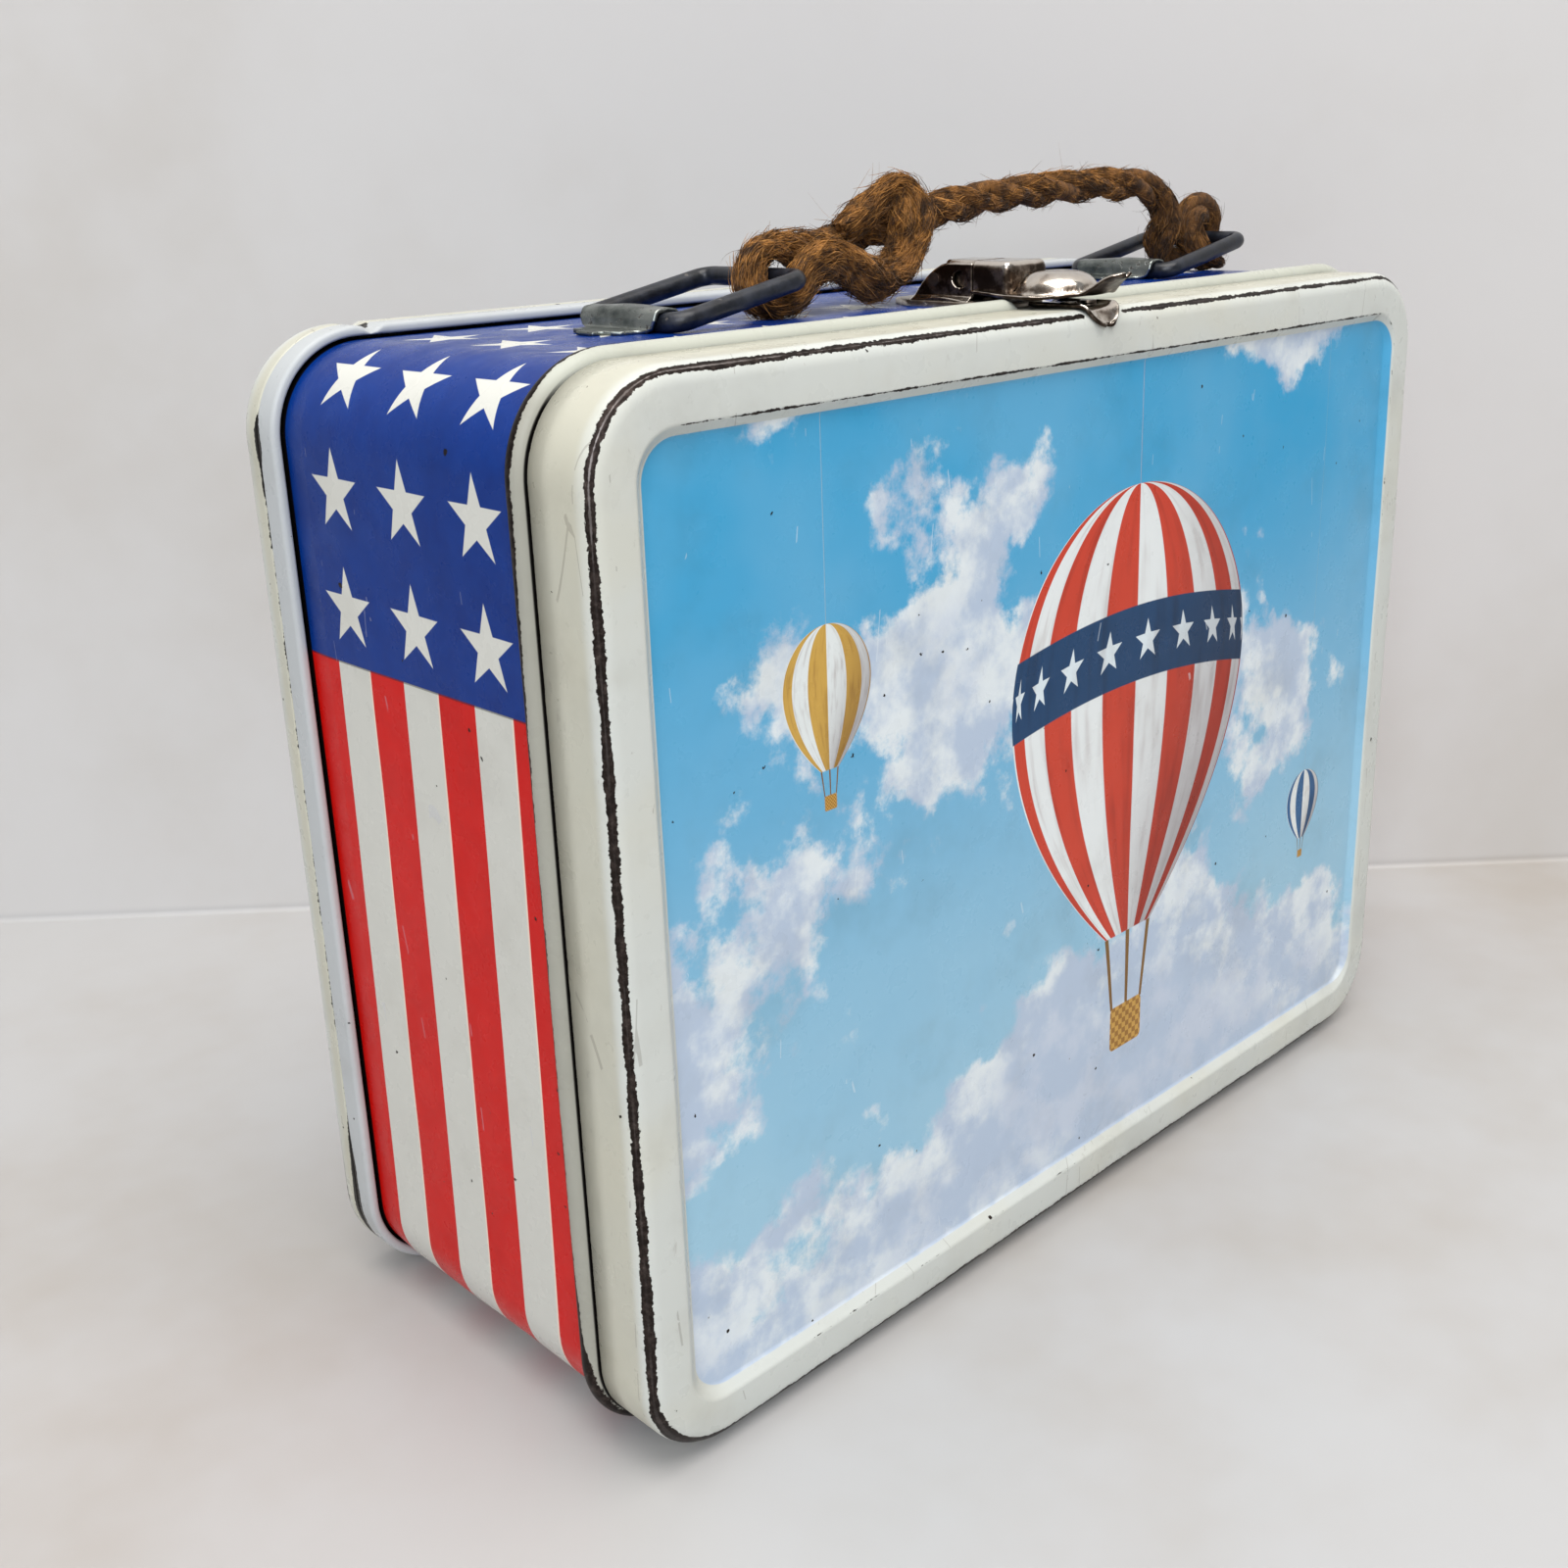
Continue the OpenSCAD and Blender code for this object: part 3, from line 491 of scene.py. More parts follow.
def litho_band():
    """Lithographed tinplate of the band: royal blue with rows of white stars, then red and white
    stripes, under a gloss varnish; the bead is ivory and worn to dark steel on its rear side."""
    material, tree, mm = new_material("litho_band_stars_and_stripes")
    y = add(tree, "SeparateXYZ", mm, out=1)
    run = add(tree, "Math.ABSOLUTE", sheet_way(tree, 0))
    run_pitch, y_pitch = 18.5, 18.9         # between the middles of the stars
    first_run, middle_y = 12.8, 3.2         # a star's middle
    blue_end, red_half = 151.5, 9.55        # where the stripes begin, and the width of a stripe
    a = add(tree, "Math.WRAP", add(tree, "Math.SUBTRACT", run, first_run), run_pitch/2, -run_pitch/2)
    b = add(tree, "Math.WRAP", add(tree, "Math.SUBTRACT", y, middle_y), y_pitch/2, -y_pitch/2)
    stars = ramp(tree, star(tree, a, b, 6.8, 0.39), -0.07, 0.07)
    column = add(tree, "Math.LESS_THAN", away_from(tree, y, middle_y), 27.0)
    stars = add(tree, "Math.MULTIPLY", stars, column)
    cloudy = grain(tree, mm, 7.0, 5.0, 0.65)
    blue = blend_colour(tree, cloudy, "#02236c", "#083c90")
    rub = grain(tree, mm, 30.0, 4.0, 0.6)
    blue = blend_colour(tree, ramp(tree, rub, 0.5, 0.75, 0.0, 0.12), blue, "#4d6cae")
    field = blend_colour(tree, stars, blue, "#d6d6ce")
    # stripes, drifting towards the rear as they run down
    drift = ramp(tree, run, blue_end, 256.0, 0.0, 2.4, smooth=False)
    across = add(tree, "Math.ADD", add(tree, "Math.SUBTRACT", y, drift), 1.5)
    stripe = add(tree, "Math.WRAP", across, red_half, -red_half)
    red_share = ramp(tree, stripe, 0.05, -0.05)
    wrapped = add(tree, "Math.GREATER_THAN", stripe, 0.05 - red_half)
    red_share = add(tree, "Math.MULTIPLY", red_share, wrapped)
    red = blend_colour(tree, cloudy, "#bd0806", "#d6150f")
    halo = add(tree, "Math.LESS_THAN", add(tree, "Math.PINGPONG", stripe, red_half), 0.42)
    pale = blend_colour(tree, halo, "#cfcfc7", "#ecd9c8")
    stripes = blend_colour(tree, red_share, pale, red)
    print_colour = blend_colour(tree, ramp(tree, run, blue_end - 0.05, blue_end + 0.05), field, stripes)
    rule = add(tree, "Math.LESS_THAN", away_from(tree, run, blue_end + 0.1), 0.16)
    print_colour = blend_colour(tree, rule, print_colour, "#1c1220", 0.6)
    # the ivory bead, darkened below its top by painted shade, with steel bare along its crest and its
    # rear side
    low = ramp(tree, add(tree, "SeparateXYZ", mm, out=2), BAND_TOP - 0.1, BAND_TOP - 5.1)
    ivory = blend_colour(tree, low, "#bcbeb2", "#a3a297")
    ivory_edge = add(tree, "Math.ADD", y, add(tree, "Math.MULTIPLY", grain(tree, mm, 2.0), 0.5))
    print_colour = blend_colour(tree, ramp(tree, ivory_edge, -23.95, -24.1), print_colour, ivory)
    wear = add(tree, "Attribute", attribute_name="wear", out=2)
    bare = worn_line(tree, mm, add(tree, "Math.SUBTRACT", y, BEAD_Y + 1.0), wear, 0.40)
    flake_width = ramp(tree, low, 0.0, 1.0, -0.2, 0.04)
    flaked = worn_line(tree, mm, add(tree, "Math.ADD", y, 24.1), flake_width, 0.26)
    bare = add(tree, "Math.MAXIMUM", bare, flaked)
    # painted shade, near black, in the gaps beside the lid's wall and the rear rim; beside the lid only
    # on the sides and underside
    front = add(tree, "Math.MULTIPLY", ramp(tree, y, -28.75, -28.85), low)
    painted_gap_shade = add(tree, "Math.MAXIMUM", front, ramp(tree, y, RIM_FRONT - 0.3, RIM_FRONT))
    print_colour = blend_colour(tree, painted_gap_shade, print_colour, "#0c0a09")
    chips = add(tree, "Math.MAXIMUM", specks(tree, mm, 12.0, 0.5, 0.5, 1),
                specks(tree, mm, 8.0, 0.30, 0.36, 11))
    bare = add(tree, "Math.MAXIMUM", bare, chips)
    light = scratches(tree, mm, 16.0, 0.09, (0.4, 0.3, 0.2), 2, 0.38)
    print_colour = blend_colour(tree, light, print_colour, "#b9bccb", 0.25)
    finish_material(tree, painted_surface(tree, print_colour, bare, mm, 0.27, 0.12, 0.15))
    return material


def rounded_box(tree, x, z, middle, half, radius):
    """Signed distance to a rounded rectangle in the XZ plane, in mm, below 0 inside."""
    q = [add(tree, "Math.SUBTRACT", away_from(tree, v, m), h) for v, m, h in zip((x, z), middle, half)]
    far = length_of(tree, *(add(tree, "Math.MAXIMUM", v, 0.0) for v in q))
    within = add(tree, "Math.MINIMUM", add(tree, "Math.MAXIMUM", q[0], q[1]), 0.0)
    return add(tree, "Math.SUBTRACT", add(tree, "Math.ADD", far, within), radius)


def balloon(tree, ground, x, z, middle, radius, colours, gores):
    """A hot-air balloon painted over the ground colour: a round crown that narrows to a skirt, gores
    that follow the half-width at each height, lines and a basket, and a belt with small stars where
    a third colour is given."""
    across = add(tree, "Math.DIVIDE", add(tree, "Math.SUBTRACT", x, middle[0]), radius)
    high = add(tree, "Math.DIVIDE", add(tree, "Math.SUBTRACT", z, middle[1]), radius)
    # heights in radii: the skirt's foot, the basket's top, its middle, and the belt's middle
    foot, basket_top, basket_middle, belt_at = -1.42, -1.86, -1.98, 0.18
    under_crown = add(tree, "Math.SUBTRACT", 1.0, add(tree, "Math.MULTIPLY", high, high))
    crown = add(tree, "Math.SQRT", add(tree, "Math.MAXIMUM", under_crown, 0.0))
    drop = add(tree, "Math.MAXIMUM", add(tree, "Math.DIVIDE", high, foot), 0.0)
    taper = add(tree, "Math.MULTIPLY_ADD", add(tree, "Math.POWER", drop, 1.9), -0.8, 1.0)
    upper = add(tree, "Math.GREATER_THAN", high, 0.0)
    width = add(tree, "Mix", {0: upper, 2: taper, 3: crown}, data_type="FLOAT")
    width = add(tree, "Math.MAXIMUM", width, 0.001)
    share = add(tree, "Math.DIVIDE", across, width)
    edge = add(tree, "Math.SUBTRACT", width, add(tree, "Math.ABSOLUTE", across))
    soft = 0.12/radius
    inside = ramp(tree, edge, -soft, soft)
    inside = add(tree, "Math.MULTIPLY", inside, ramp(tree, high, foot - soft, foot + soft))
    held = add(tree, "Math.MINIMUM", add(tree, "Math.MAXIMUM", share, -1.0), 1.0)
    round_it = add(tree, "Math.ARCSINE", held)
    turn = add(tree, "Math.MULTIPLY_ADD", round_it, gores/math.pi, 0.5)
    gore = ramp(tree, add(tree, "Math.PINGPONG", turn, 1.0), 0.48, 0.52)
    skin = blend_colour(tree, gore, colours[0], colours[1])
    if len(colours) > 2:
        bow = add(tree, "Math.MULTIPLY_ADD", add(tree, "Math.MULTIPLY", share, share), 0.10, high)
        belt = ramp(tree, away_from(tree, bow, belt_at), 0.20 + soft, 0.20 - soft)
        below = add(tree, "Math.MULTIPLY", add(tree, "Math.SUBTRACT", belt_at, bow), radius)
        beside = add(tree, "Math.WRAP", add(tree, "Math.SUBTRACT", round_it, 0.1), 0.17, -0.17)
        dots = star(tree, below, add(tree, "Math.MULTIPLY", beside, radius), 0.115*radius)
        belt_colour = blend_colour(tree, ramp(tree, dots, -0.06, 0.06), colours[2], "#d9e4e8")
        skin = blend_colour(tree, belt, skin, belt_colour)
    shade = add(tree, "Math.MULTIPLY_ADD", share, 0.75, add(tree, "Math.MULTIPLY", high, -0.35))
    skin = blend_colour(tree, ramp(tree, shade, -0.1, 1.0, 0.0, 0.55), skin, "#6b4a55", mode="MULTIPLY")
    cloth = add(tree, "CombineXYZ", add(tree, "Math.MULTIPLY", round_it, 9.0), 0.0,
                add(tree, "Math.MULTIPLY", high, 2.0))
    folds = ramp(tree, grain(tree, cloth, 1.0, 2.0), 0.45, 0.8, 0.0, 0.35)
    skin = blend_colour(tree, folds, skin, "#8a5a52", mode="MULTIPLY")
    ground = blend_colour(tree, inside, ground, skin)
    # lines from the skirt to the basket, and the basket
    slope = ramp(tree, high, basket_top, foot, 0.13, 0.19, smooth=False)
    lines = add(tree, "Math.PINGPONG", add(tree, "Math.DIVIDE", across, slope), 0.5)
    lines = add(tree, "Math.LESS_THAN", lines, 0.09)
    between = add(tree, "Math.MULTIPLY", add(tree, "Math.LESS_THAN", high, foot),
                  add(tree, "Math.GREATER_THAN", high, basket_top))
    near = add(tree, "Math.LESS_THAN", add(tree, "Math.ABSOLUTE", across),
               add(tree, "Math.MULTIPLY", slope, 1.08))
    lines = add(tree, "Math.MULTIPLY", lines, add(tree, "Math.MULTIPLY", between, near))
    ground = blend_colour(tree, lines, ground, "#7c5a2a")
    basket = rounded_box(tree, across, high, (0.0, basket_middle), (0.11, 0.10), 0.03)
    wicker = add(tree, "TexChecker", {"Vector": add(tree, "CombineXYZ", across, high, 0.0),
                                      "Color1": "#c79a4a", "Color2": "#9a6d2c", "Scale": 32.0})
    return blend_colour(tree, ramp(tree, basket, soft, -soft), ground, wicker)


def sky_picture(tree, mm, seed, mirrored):
    """A painted sky: blue paling downwards, banks of cloud with lit tops and grey undersides, and
    three balloons."""
    x, z = (add(tree, "SeparateXYZ", mm, out=i) for i in (0, 2))
    if mirrored:
        x = add(tree, "Math.MULTIPLY", x, -1.0)
    flat = add(tree, "CombineXYZ", x, seed*50.0, z)
    sky = blend_colour(tree, ramp(tree, z, 150.0, 35.0), SKY_TOP, SKY_LOW)
    haze = ramp(tree, grain(tree, flat, 45.0, 3.0), 0.35, 0.7, 0.0, 0.4)
    sky = blend_colour(tree, haze, sky, "#7fb6d4")
    # cloud banks: billows over a broad map of where the clouds are
    broad = grain(tree, flat, 62.0, 2.0, 0.4, (1.25, 1.0, 0.9))
    billow = grain(tree, flat, 17.0, 7.0, 0.62)
    lower = ramp(tree, z, 150.0, 10.0, -0.03, 0.10)
    amount = add(tree, "Math.ADD", add(tree, "Math.MULTIPLY_ADD", billow, 0.42, broad), lower)
    cover = ramp(tree, amount, 0.715, 0.765)
    deep = ramp(tree, amount, 0.76, 0.95)
    cloud = blend_colour(tree, deep, CLOUD, "#c3cddc")
    puffs = grain(tree, add(tree, "VectorMath.ADD", flat, (3.0, 0.0, -4.0)), 13.0, 6.0, 0.6)
    cloud = blend_colour(tree, ramp(tree, puffs, 0.42, 0.62), "#b4c3d6", cloud)
    picture = blend_colour(tree, cover, sky, cloud)
    for middle, radius, colours, gores in (((-66.0, 121.0), 9.5, ("#c9a04c", "#dfe4e2"), 7),
                                           ((78.0, 62.0), 6.5, ("#2b5f8f", "#e2e6e4"), 7),
                                           ((14.0, 104.0), 36.0, ("#c8402a", "#e3e7e6", "#173f66"), 11)):
        picture = balloon(tree, picture, x, z, middle, radius, colours, gores)
    return picture


def litho_face(name, seed, mirrored, offset, crest_v, gap_at, groove_y=None):
    """Lithographed tinplate of the lid or the back: an ivory border round a sky picture under gloss
    varnish, with the border's edges rubbed down to dark steel, which is lighter in its middle where it is
    rubbed bright and where a highlight is painted, scuffs and hairline scratches. Painted shade lies
    along a
    gap: at Y gap_at on the lid, which is its open edge, and at that distance along the profile on the
    back, whose rolled rim is blue-white up to its chipped groove."""
    material, tree, mm = new_material(name)
    x, y, z = (add(tree, "SeparateXYZ", mm, out=i) for i in (0, 1, 2))
    v = sheet_way(tree, 1)
    picture = sky_picture(tree, mm, seed, mirrored)
    print_edge = rounded_box(tree, x, z, (offset, 86.5), (94.0, 69.2), 6.2)
    outer_wall = add(tree, "Math.MULTIPLY", add(tree, "Math.LESS_THAN", v, 5.0), 60.0)
    print_edge = add(tree, "Math.ADD", print_edge, outer_wall)
    wall = ramp(tree, v, -1.0, -3.0)
    ivory = blend_colour(tree, wall, IVORY, "#c4c3b4")
    yellowed = grain(tree, mm, 26.0, 3.0, 0.55)
    ivory = blend_colour(tree, ramp(tree, yellowed, 0.42, 0.72, 0.0, 0.35), ivory, "#cbc7b2")
    scuff = scratches(tree, mm, 13.0, 0.07, (0.3, 0.95, 0.5), 3, 0.42)
    ivory = blend_colour(tree, scuff, ivory, "#6d6258", 0.32)
    rubs = grain(tree, mm, 3.0, 5.0, 0.75, (1.0, 1.0, 2.2))
    ivory = blend_colour(tree, ramp(tree, rubs, 0.62, 0.72, 0.0, 0.30), ivory, "#8b857b")
    hair = add(tree, "Math.MAXIMUM", scratches(tree, mm, 34.0, 0.07, (0.0, -0.8, 0.0), 7, 0.36),
               scratches(tree, mm, 30.0, 0.06, (0.0, 1.25, 0.0), 8, 0.34))
    picture = blend_colour(tree, hair, picture, "#dfe6ea", 0.35)
    print_colour = blend_colour(tree, ramp(tree, print_edge, 0.08, -0.08), ivory, picture)
    # painted shade, near black, along the gap: none on the top, widening down the sides
    gap = add(tree, "Math.SUBTRACT", v if groove_y else y, gap_at)
    painted_gap_shade = worn_line(tree, mm, gap, ramp(tree, z, 172.0, 165.0, -0.02, 0.12), 0.10)
    if groove_y:
        rim = ramp(tree, y, groove_y, groove_y - 0.1)
        print_colour = blend_colour(tree, rim, print_colour, "#bcc0c1")
        groove = add(tree, "Attribute", attribute_name="groove", out=2)
        chipped = worn_line(tree, mm, add(tree, "Math.SUBTRACT", y, groove_y), groove, 0.30)
        # the groove's chips are real wear, darkened along with the painted gap shade
        painted_gap_shade = add(tree, "Math.MAXIMUM", painted_gap_shade, chipped)
    print_colour = blend_colour(tree, painted_gap_shade, print_colour, "#14100e")
    wear = add(tree, "Attribute", attribute_name="wear", out=2)
    crest = add(tree, "Attribute", attribute_name="crest", out=2)
    bare = worn_line(tree, mm, v, wear, 0.42)
    crest_line = worn_line(tree, mm, add(tree, "Math.SUBTRACT", v, crest_v), crest, 0.30)
    bare = add(tree, "Math.MAXIMUM", bare, crest_line)
    chips = add(tree, "Math.MAXIMUM", specks(tree, mm, 11.0, 0.45, 0.40, 2),
                specks(tree, mm, 6.5, 0.28, 0.60, 9))
    bare = add(tree, "Math.MAXIMUM", bare, chips)
    # the worn steel's middle: rubbed bright in patches, with a painted highlight that grows towards the
    # top, where the rolled edge catches the light
    rubbed_and_highlit = worn_line(tree, mm, v, add(tree, "Math.MULTIPLY_ADD", wear, 0.6, -0.30), 0.16)
    patchy = ramp(tree, grain(tree, mm, 7.0, 2.0), 0.42, 0.62, 0.25, 0.9)
    rubbed_and_highlit = add(tree, "Math.MULTIPLY", rubbed_and_highlit, patchy)
    rubbed_and_highlit = add(tree, "Math.MULTIPLY", rubbed_and_highlit, ramp(tree, z, 138.0, 160.0, 0.12, 1.0))
    finish_material(tree, painted_surface(tree, print_colour, bare, mm, 0.30, 0.16, rubbed_and_highlit=rubbed_and_highlit))
    return material


def bare_metal(name, dark, light, spots, roughness, streaks, spot_share, bump):
    """Bare or plated metal: two tones in soft patches, tarnish or rust spots, and fine marks along
    the direction it was drawn or rolled in."""
    material, tree, mm = new_material(name)
    patches = grain(tree, mm, 5.0, 4.0, 0.6, streaks)
    base = blend_colour(tree, ramp(tree, patches, 0.3, 0.7), dark, light)
    pits = grain(tree, mm, 1.1, 5.0, 0.72)
    pits = ramp(tree, pits, spot_share, spot_share + 0.1)
    base = blend_colour(tree, pits, base, spots, 0.85)
    fine = grain(tree, mm, 0.3, 3.0, 0.6, streaks)
    rough = add(tree, "Math.MULTIPLY_ADD", fine, 0.16, roughness - 0.08)
    rough = add(tree, "Math.MULTIPLY_ADD", pits, 0.25, rough)
    height = add(tree, "Math.SUBTRACT", add(tree, "Math.MULTIPLY", fine, bump),
                 add(tree, "Math.MULTIPLY", pits, 2*bump))
    metallic = add(tree, "Math.MULTIPLY_ADD", pits, -0.55, 1.0)
    finish_material(tree, surface_of(tree, base, rough, metallic, height))
    return material


def lacquered_wire():
    """Steel wire dipped in blue-black lacquer, dull and rubbed grey in places."""
    material, tree, mm = new_material("blue_black_lacquer_on_steel_wire")
    rub = grain(tree, mm, 3.5, 5.0, 0.7)
    base = blend_colour(tree, ramp(tree, rub, 0.35, 0.75), "#0d1016", "#272b35")
    chips = specks(tree, mm, 3.2, 0.4, 0.4, 6)
    base = blend_colour(tree, chips, base, "#6d6862", 0.6)
    rough = ramp(tree, rub, 0.3, 0.8, 0.28, 0.48)
    height = add(tree, "Math.MULTIPLY", grain(tree, mm, 0.6, 3.0, 0.6), 0.03)
    finish_material(tree, surface_of(tree, base, rough, 0.0, height))
    return material


def jute(name, light, dark, sheen):
    """Coir and jute yarn: dull brown fibres of mixed tone that run along the strand, golden in painted
    highlights and nearly black in painted shade between them, with the soft sheen of plant fibre."""
    material, tree, mm = new_material(name)
    along = add(tree, "VectorMath.MULTIPLY", add(tree, "TexCoord", out=2), (1/MM, 1/MM, 0.0))
    # real fibres are half as wide; at 0.16 mm they show
    threads = grain(tree, along, 0.16, 3.0, 0.65, (16.0, 1.0, 1.0))
    clumps = grain(tree, mm, 2.6, 4.0, 0.6)
    tone = add(tree, "Math.ADD", add(tree, "Math.MULTIPLY", threads, 0.75),
               add(tree, "Math.MULTIPLY", clumps, 0.45))
    colour = add(tree, "ValToRGB", tone, stops=[
        (0, dark), (0.44, dark), (0.56, "#704a20"), (0.68, light), (1, "#cfa265")])
    # painted shade: dark patches that stand for the hollows between the yarns
    moved = add(tree, "VectorMath.ADD", mm, (40.0, 7.0, 3.0))
    painted_hollow_shade = ramp(tree, grain(tree, moved, 3.4, 3.0, 0.6), 0.56, 0.36)
    colour = blend_colour(tree, painted_hollow_shade, colour, "#2c1c10", 0.8)
    # darker towards the knot on the right
    darker_at_right_knot = ramp(tree, add(tree, "SeparateXYZ", mm), 72.0, 86.0, 0.0, 0.42)
    colour = blend_colour(tree, darker_at_right_knot, colour, "#1d120b")
    height = add(tree, "Math.MULTIPLY", threads, 0.25)
    finish_material(tree, surface_of(tree, colour, 0.75, 0.0, height, Specular_IOR_Level=0.22,
                                     Sheen_Weight=sheen, Sheen_Roughness=0.4))
    return material


# ---------- band, back and lid ----------

def worn_width(places, widths):
    """Half-width of the worn line round the box, in mm, read off between the given places."""
    return np.interp(RUN, places, widths)


def make_band(material, inner):
    """The band: its profile runs from inside the rear rim, over a shallow joggle, along the band's
    face, over the half-round front bead, and back along the inner face; carried round the box. The
    bead's height falls along a quarter circle to nothing beside the latch, and along the hinge the
    band stops behind the wire."""
    inner_r = BAND_R - SHEET
    joggle = [(BAND_R - 0.35, 44.0), (BAND_R - 0.35, 36.0), (BAND_R, 30.6)]
    bead = [(BAND_R + BEAD_R*math.sin(a), BEAD_Y + BEAD_R*math.cos(a))
            for a in np.linspace(0.12, math.pi - 0.12, 20)]
    outline = joggle + [(BAND_R, BEAD_Y + 2.4)] + bead + [(BAND_R, FRONT_EDGE)]
    line, _ = refine(*rounded(outline, [2.0, 2.0, 0.3] + [0]*len(bead), 4), 6.0)
    inside = inner_line(line, SHEET)
    inside[-1] = (inner_r, FRONT_EDGE)
    along = np.abs(CENTRE[:, 0])            # from the middle of the box to either end
    top, bottom = OUT[:, 1] > 0.999, OUT[:, 1] < -0.999
    notch = np.where(top, np.sqrt(1 - np.clip((8.4 - along)/BEAD_R, 0, 1)**2), 1.0)
    hinge = bottom & (along < HINGE_LENGTH/2 + 1)

    def rings(profile, face):
        flatter = np.clip(profile[:, 0] - face, 0, None)[:, None]*(notch - 1)[None, :]
        dents = 0.10*waves(RUN[None, :], profile[:, 1][:, None]*1.5, 5, 70)
        points = carried(profile, flatter + dents*bump_between(profile[:, 1], -20, 28, 8)[:, None])
        stop = (profile[:, 1] < -24.7)[:, None] & hinge
        points[..., 2] = np.where(stop, CORNER_Z[0] - face, points[..., 2])
        points[..., 1] = np.where(stop, BOX_LEAF_Y, points[..., 1])
        return points

    both = np.concatenate([rings(line, BAND_R), rings(inside[::-1], inner_r)])
    points, faces, uv = ring_mesh(both, np.concatenate([line[:, 1], inside[::-1, 1]]))
    row = np.arange(len(faces))//len(RUN)
    piece = put_mesh("band_shell", points, faces, "box", [material, inner], uv,
                     (row >= len(line) - 1) & (row < 2*len(line) - 1))
    wear = worn_width([-374, -257, -200, -117, -94, -60, 60, 84, 92, 104, 117, 135, 160, 235, 250, 262,
                       276, 300, 374],
                      [0.7, 1.0, 0.3, 0.4, 0.6, -0.6, -0.6, -0.3, 1.1, 1.5, 1.45, 1.3, 0.45, 0.4, 1.1,
                       2.9, 2.8, 0.9, 0.5])
    set_attribute(piece, "wear", np.tile(wear, len(both)))
    close_up(piece)
    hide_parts("body_band")


def close_up(piece):
    """Merges the points that fell together, and drops the faces that vanished with them."""
    shape = bmesh.new()
    shape.from_mesh(piece.data)
    bmesh.ops.remove_doubles(shape, verts=shape.verts, dist=2e-6)
    bmesh.ops.dissolve_degenerate(shape, edges=shape.edges, dist=1e-6)
    shape.to_mesh(piece.data)
    shape.free()


def dished_face(name, body, node, materials, outline, radii, edge_corner, warp, wear, crest,
                split=None, groove=None):
    """The lid or the back: a profile from its open edge, over its rounded outer edge, along the
    border and down the sloping step to the sunk panel, carried round the box and drawn in to the
    middle, with a second surface inside it. The face waves gently, as pressed sheet does. split is
    the place round the box and half-width of a nick where the ends of the rolled rim meet."""
    front = math.copysign(1, outline[-1][1])
    corner_steps = 8 if len(outline) < 8 else 6
    line, length = refine(*rounded(outline, radii, corner_steps), 5.0)
    inside = inner_line(line, -front*SHEET)
    edge = length[np.argmin(np.linalg.norm(line - outline[edge_corner], axis=1))]

    def rings(profile):
        points = carried(profile)
        if split:
            nick = np.exp(-((RUN - split[0])/split[1])**4)[None, :]
            nick = nick*np.clip((profile[:, 0] - LID_R)/1.2, 0, 1)[:, None]
            points[..., 0] -= nick*OUT[:, 0]
            points[..., 2] -= nick*OUT[:, 1]
        inward, middle = to_middle(points[-1], 14)
        return np.concatenate([points, inward]), middle

    def warped(points):
        near = np.clip((points[..., 1]*front - (outline[-1][1]*front - 3))/2, 0, 1)
        rise = 0.15*waves(points[..., 0], points[..., 2], warp, 150, 8)
        rise = rise + 0.04*waves(points[..., 0], points[..., 2], warp + 1, 38, 10)
        return np.stack([points[..., 0], points[..., 1] + rise*near, points[..., 2]], -1)

    outer, outer_middle = rings(line)
    back, back_middle = rings(inside)
    both = np.concatenate([back[::-1], outer])
    v = np.concatenate([length, length[-1] + 5.0*np.arange(1, len(outer) - len(line) + 1)]) - edge
    points, faces, uv = ring_mesh(warped(both), np.concatenate([v[::-1], v]),
                                  warped(np.array([back_middle, outer_middle])))
    row = np.arange(len(faces))//len(RUN)
    piece = put_mesh(name, points, faces, body, materials, uv,
                     (row < len(back) - 1) | (row == len(both) - 1))
    for attribute, values in (("wear", wear), ("crest", crest), ("groove", groove)):
        if values is not None:
            set_attribute(piece, attribute, np.append(np.tile(values, len(both)), values[:2]))
    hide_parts(node)


def make_knuckles(name, body, first, leaf_y, material):
    """Every other knuckle of the hinge: the sheet's edge rolled round the wire, so that its profile
    is a leaf that runs on into a circle, drawn along X for one knuckle's length."""
    pitch = HINGE_LENGTH/KNUCKLES
    half = (pitch - 0.3)/2
    side = math.copysign(1, leaf_y - HINGE_Y)
    centre = (HINGE_Y, HINGE_Z)
    turn = np.linspace(math.radians(38), math.radians(356), 34)
    outer = centre + KNUCKLE_R*np.stack([side*np.sin(turn), np.cos(turn)], 1)
    inner = centre + (outer - centre)*(BORE_R/KNUCKLE_R)
    ring = np.vstack([outer, inner[::-1]])
    leaf_ys = sorted((leaf_y, HINGE_Y + side*0.9))
    m, n = len(ring), len(outer)
    i = np.arange(n - 1)
    cap = np.stack([i, i + 1, 2*n - 2 - i, 2*n - 1 - i], 1)
    roll_faces = np.vstack([grid_faces(2, m, around=True), cap, cap[:, ::-1] + m])
    leaf_faces = np.array([(0, 1, 3, 2), (4, 6, 7, 5), (0, 4, 5, 1), (2, 3, 7, 6), (0, 2, 6, 4),
                           (1, 5, 7, 3)])
    points, faces, count = [], [], 0
    for k in range(first, KNUCKLES, 2):
        middle = (k - (KNUCKLES - 1)/2)*pitch
        ends = (middle - half, middle + half)
        roll = np.vstack([np.insert(ring, 0, x, axis=1) for x in ends])
        leaf = np.array([(x, y, z) for x in ends for y in leaf_ys for z in (1.95, 2.4)])
        for shape, shape_faces in ((roll, roll_faces), (leaf, leaf_faces)):
            if volume_sign(shape, shape_faces) < 0:
                shape_faces = shape_faces[:, ::-1]
            points.append(shape)
            faces.append(shape_faces + count)
            count += len(shape)
    put_mesh(name, np.vstack(points), np.vstack(faces), body, [material], smooth=False)


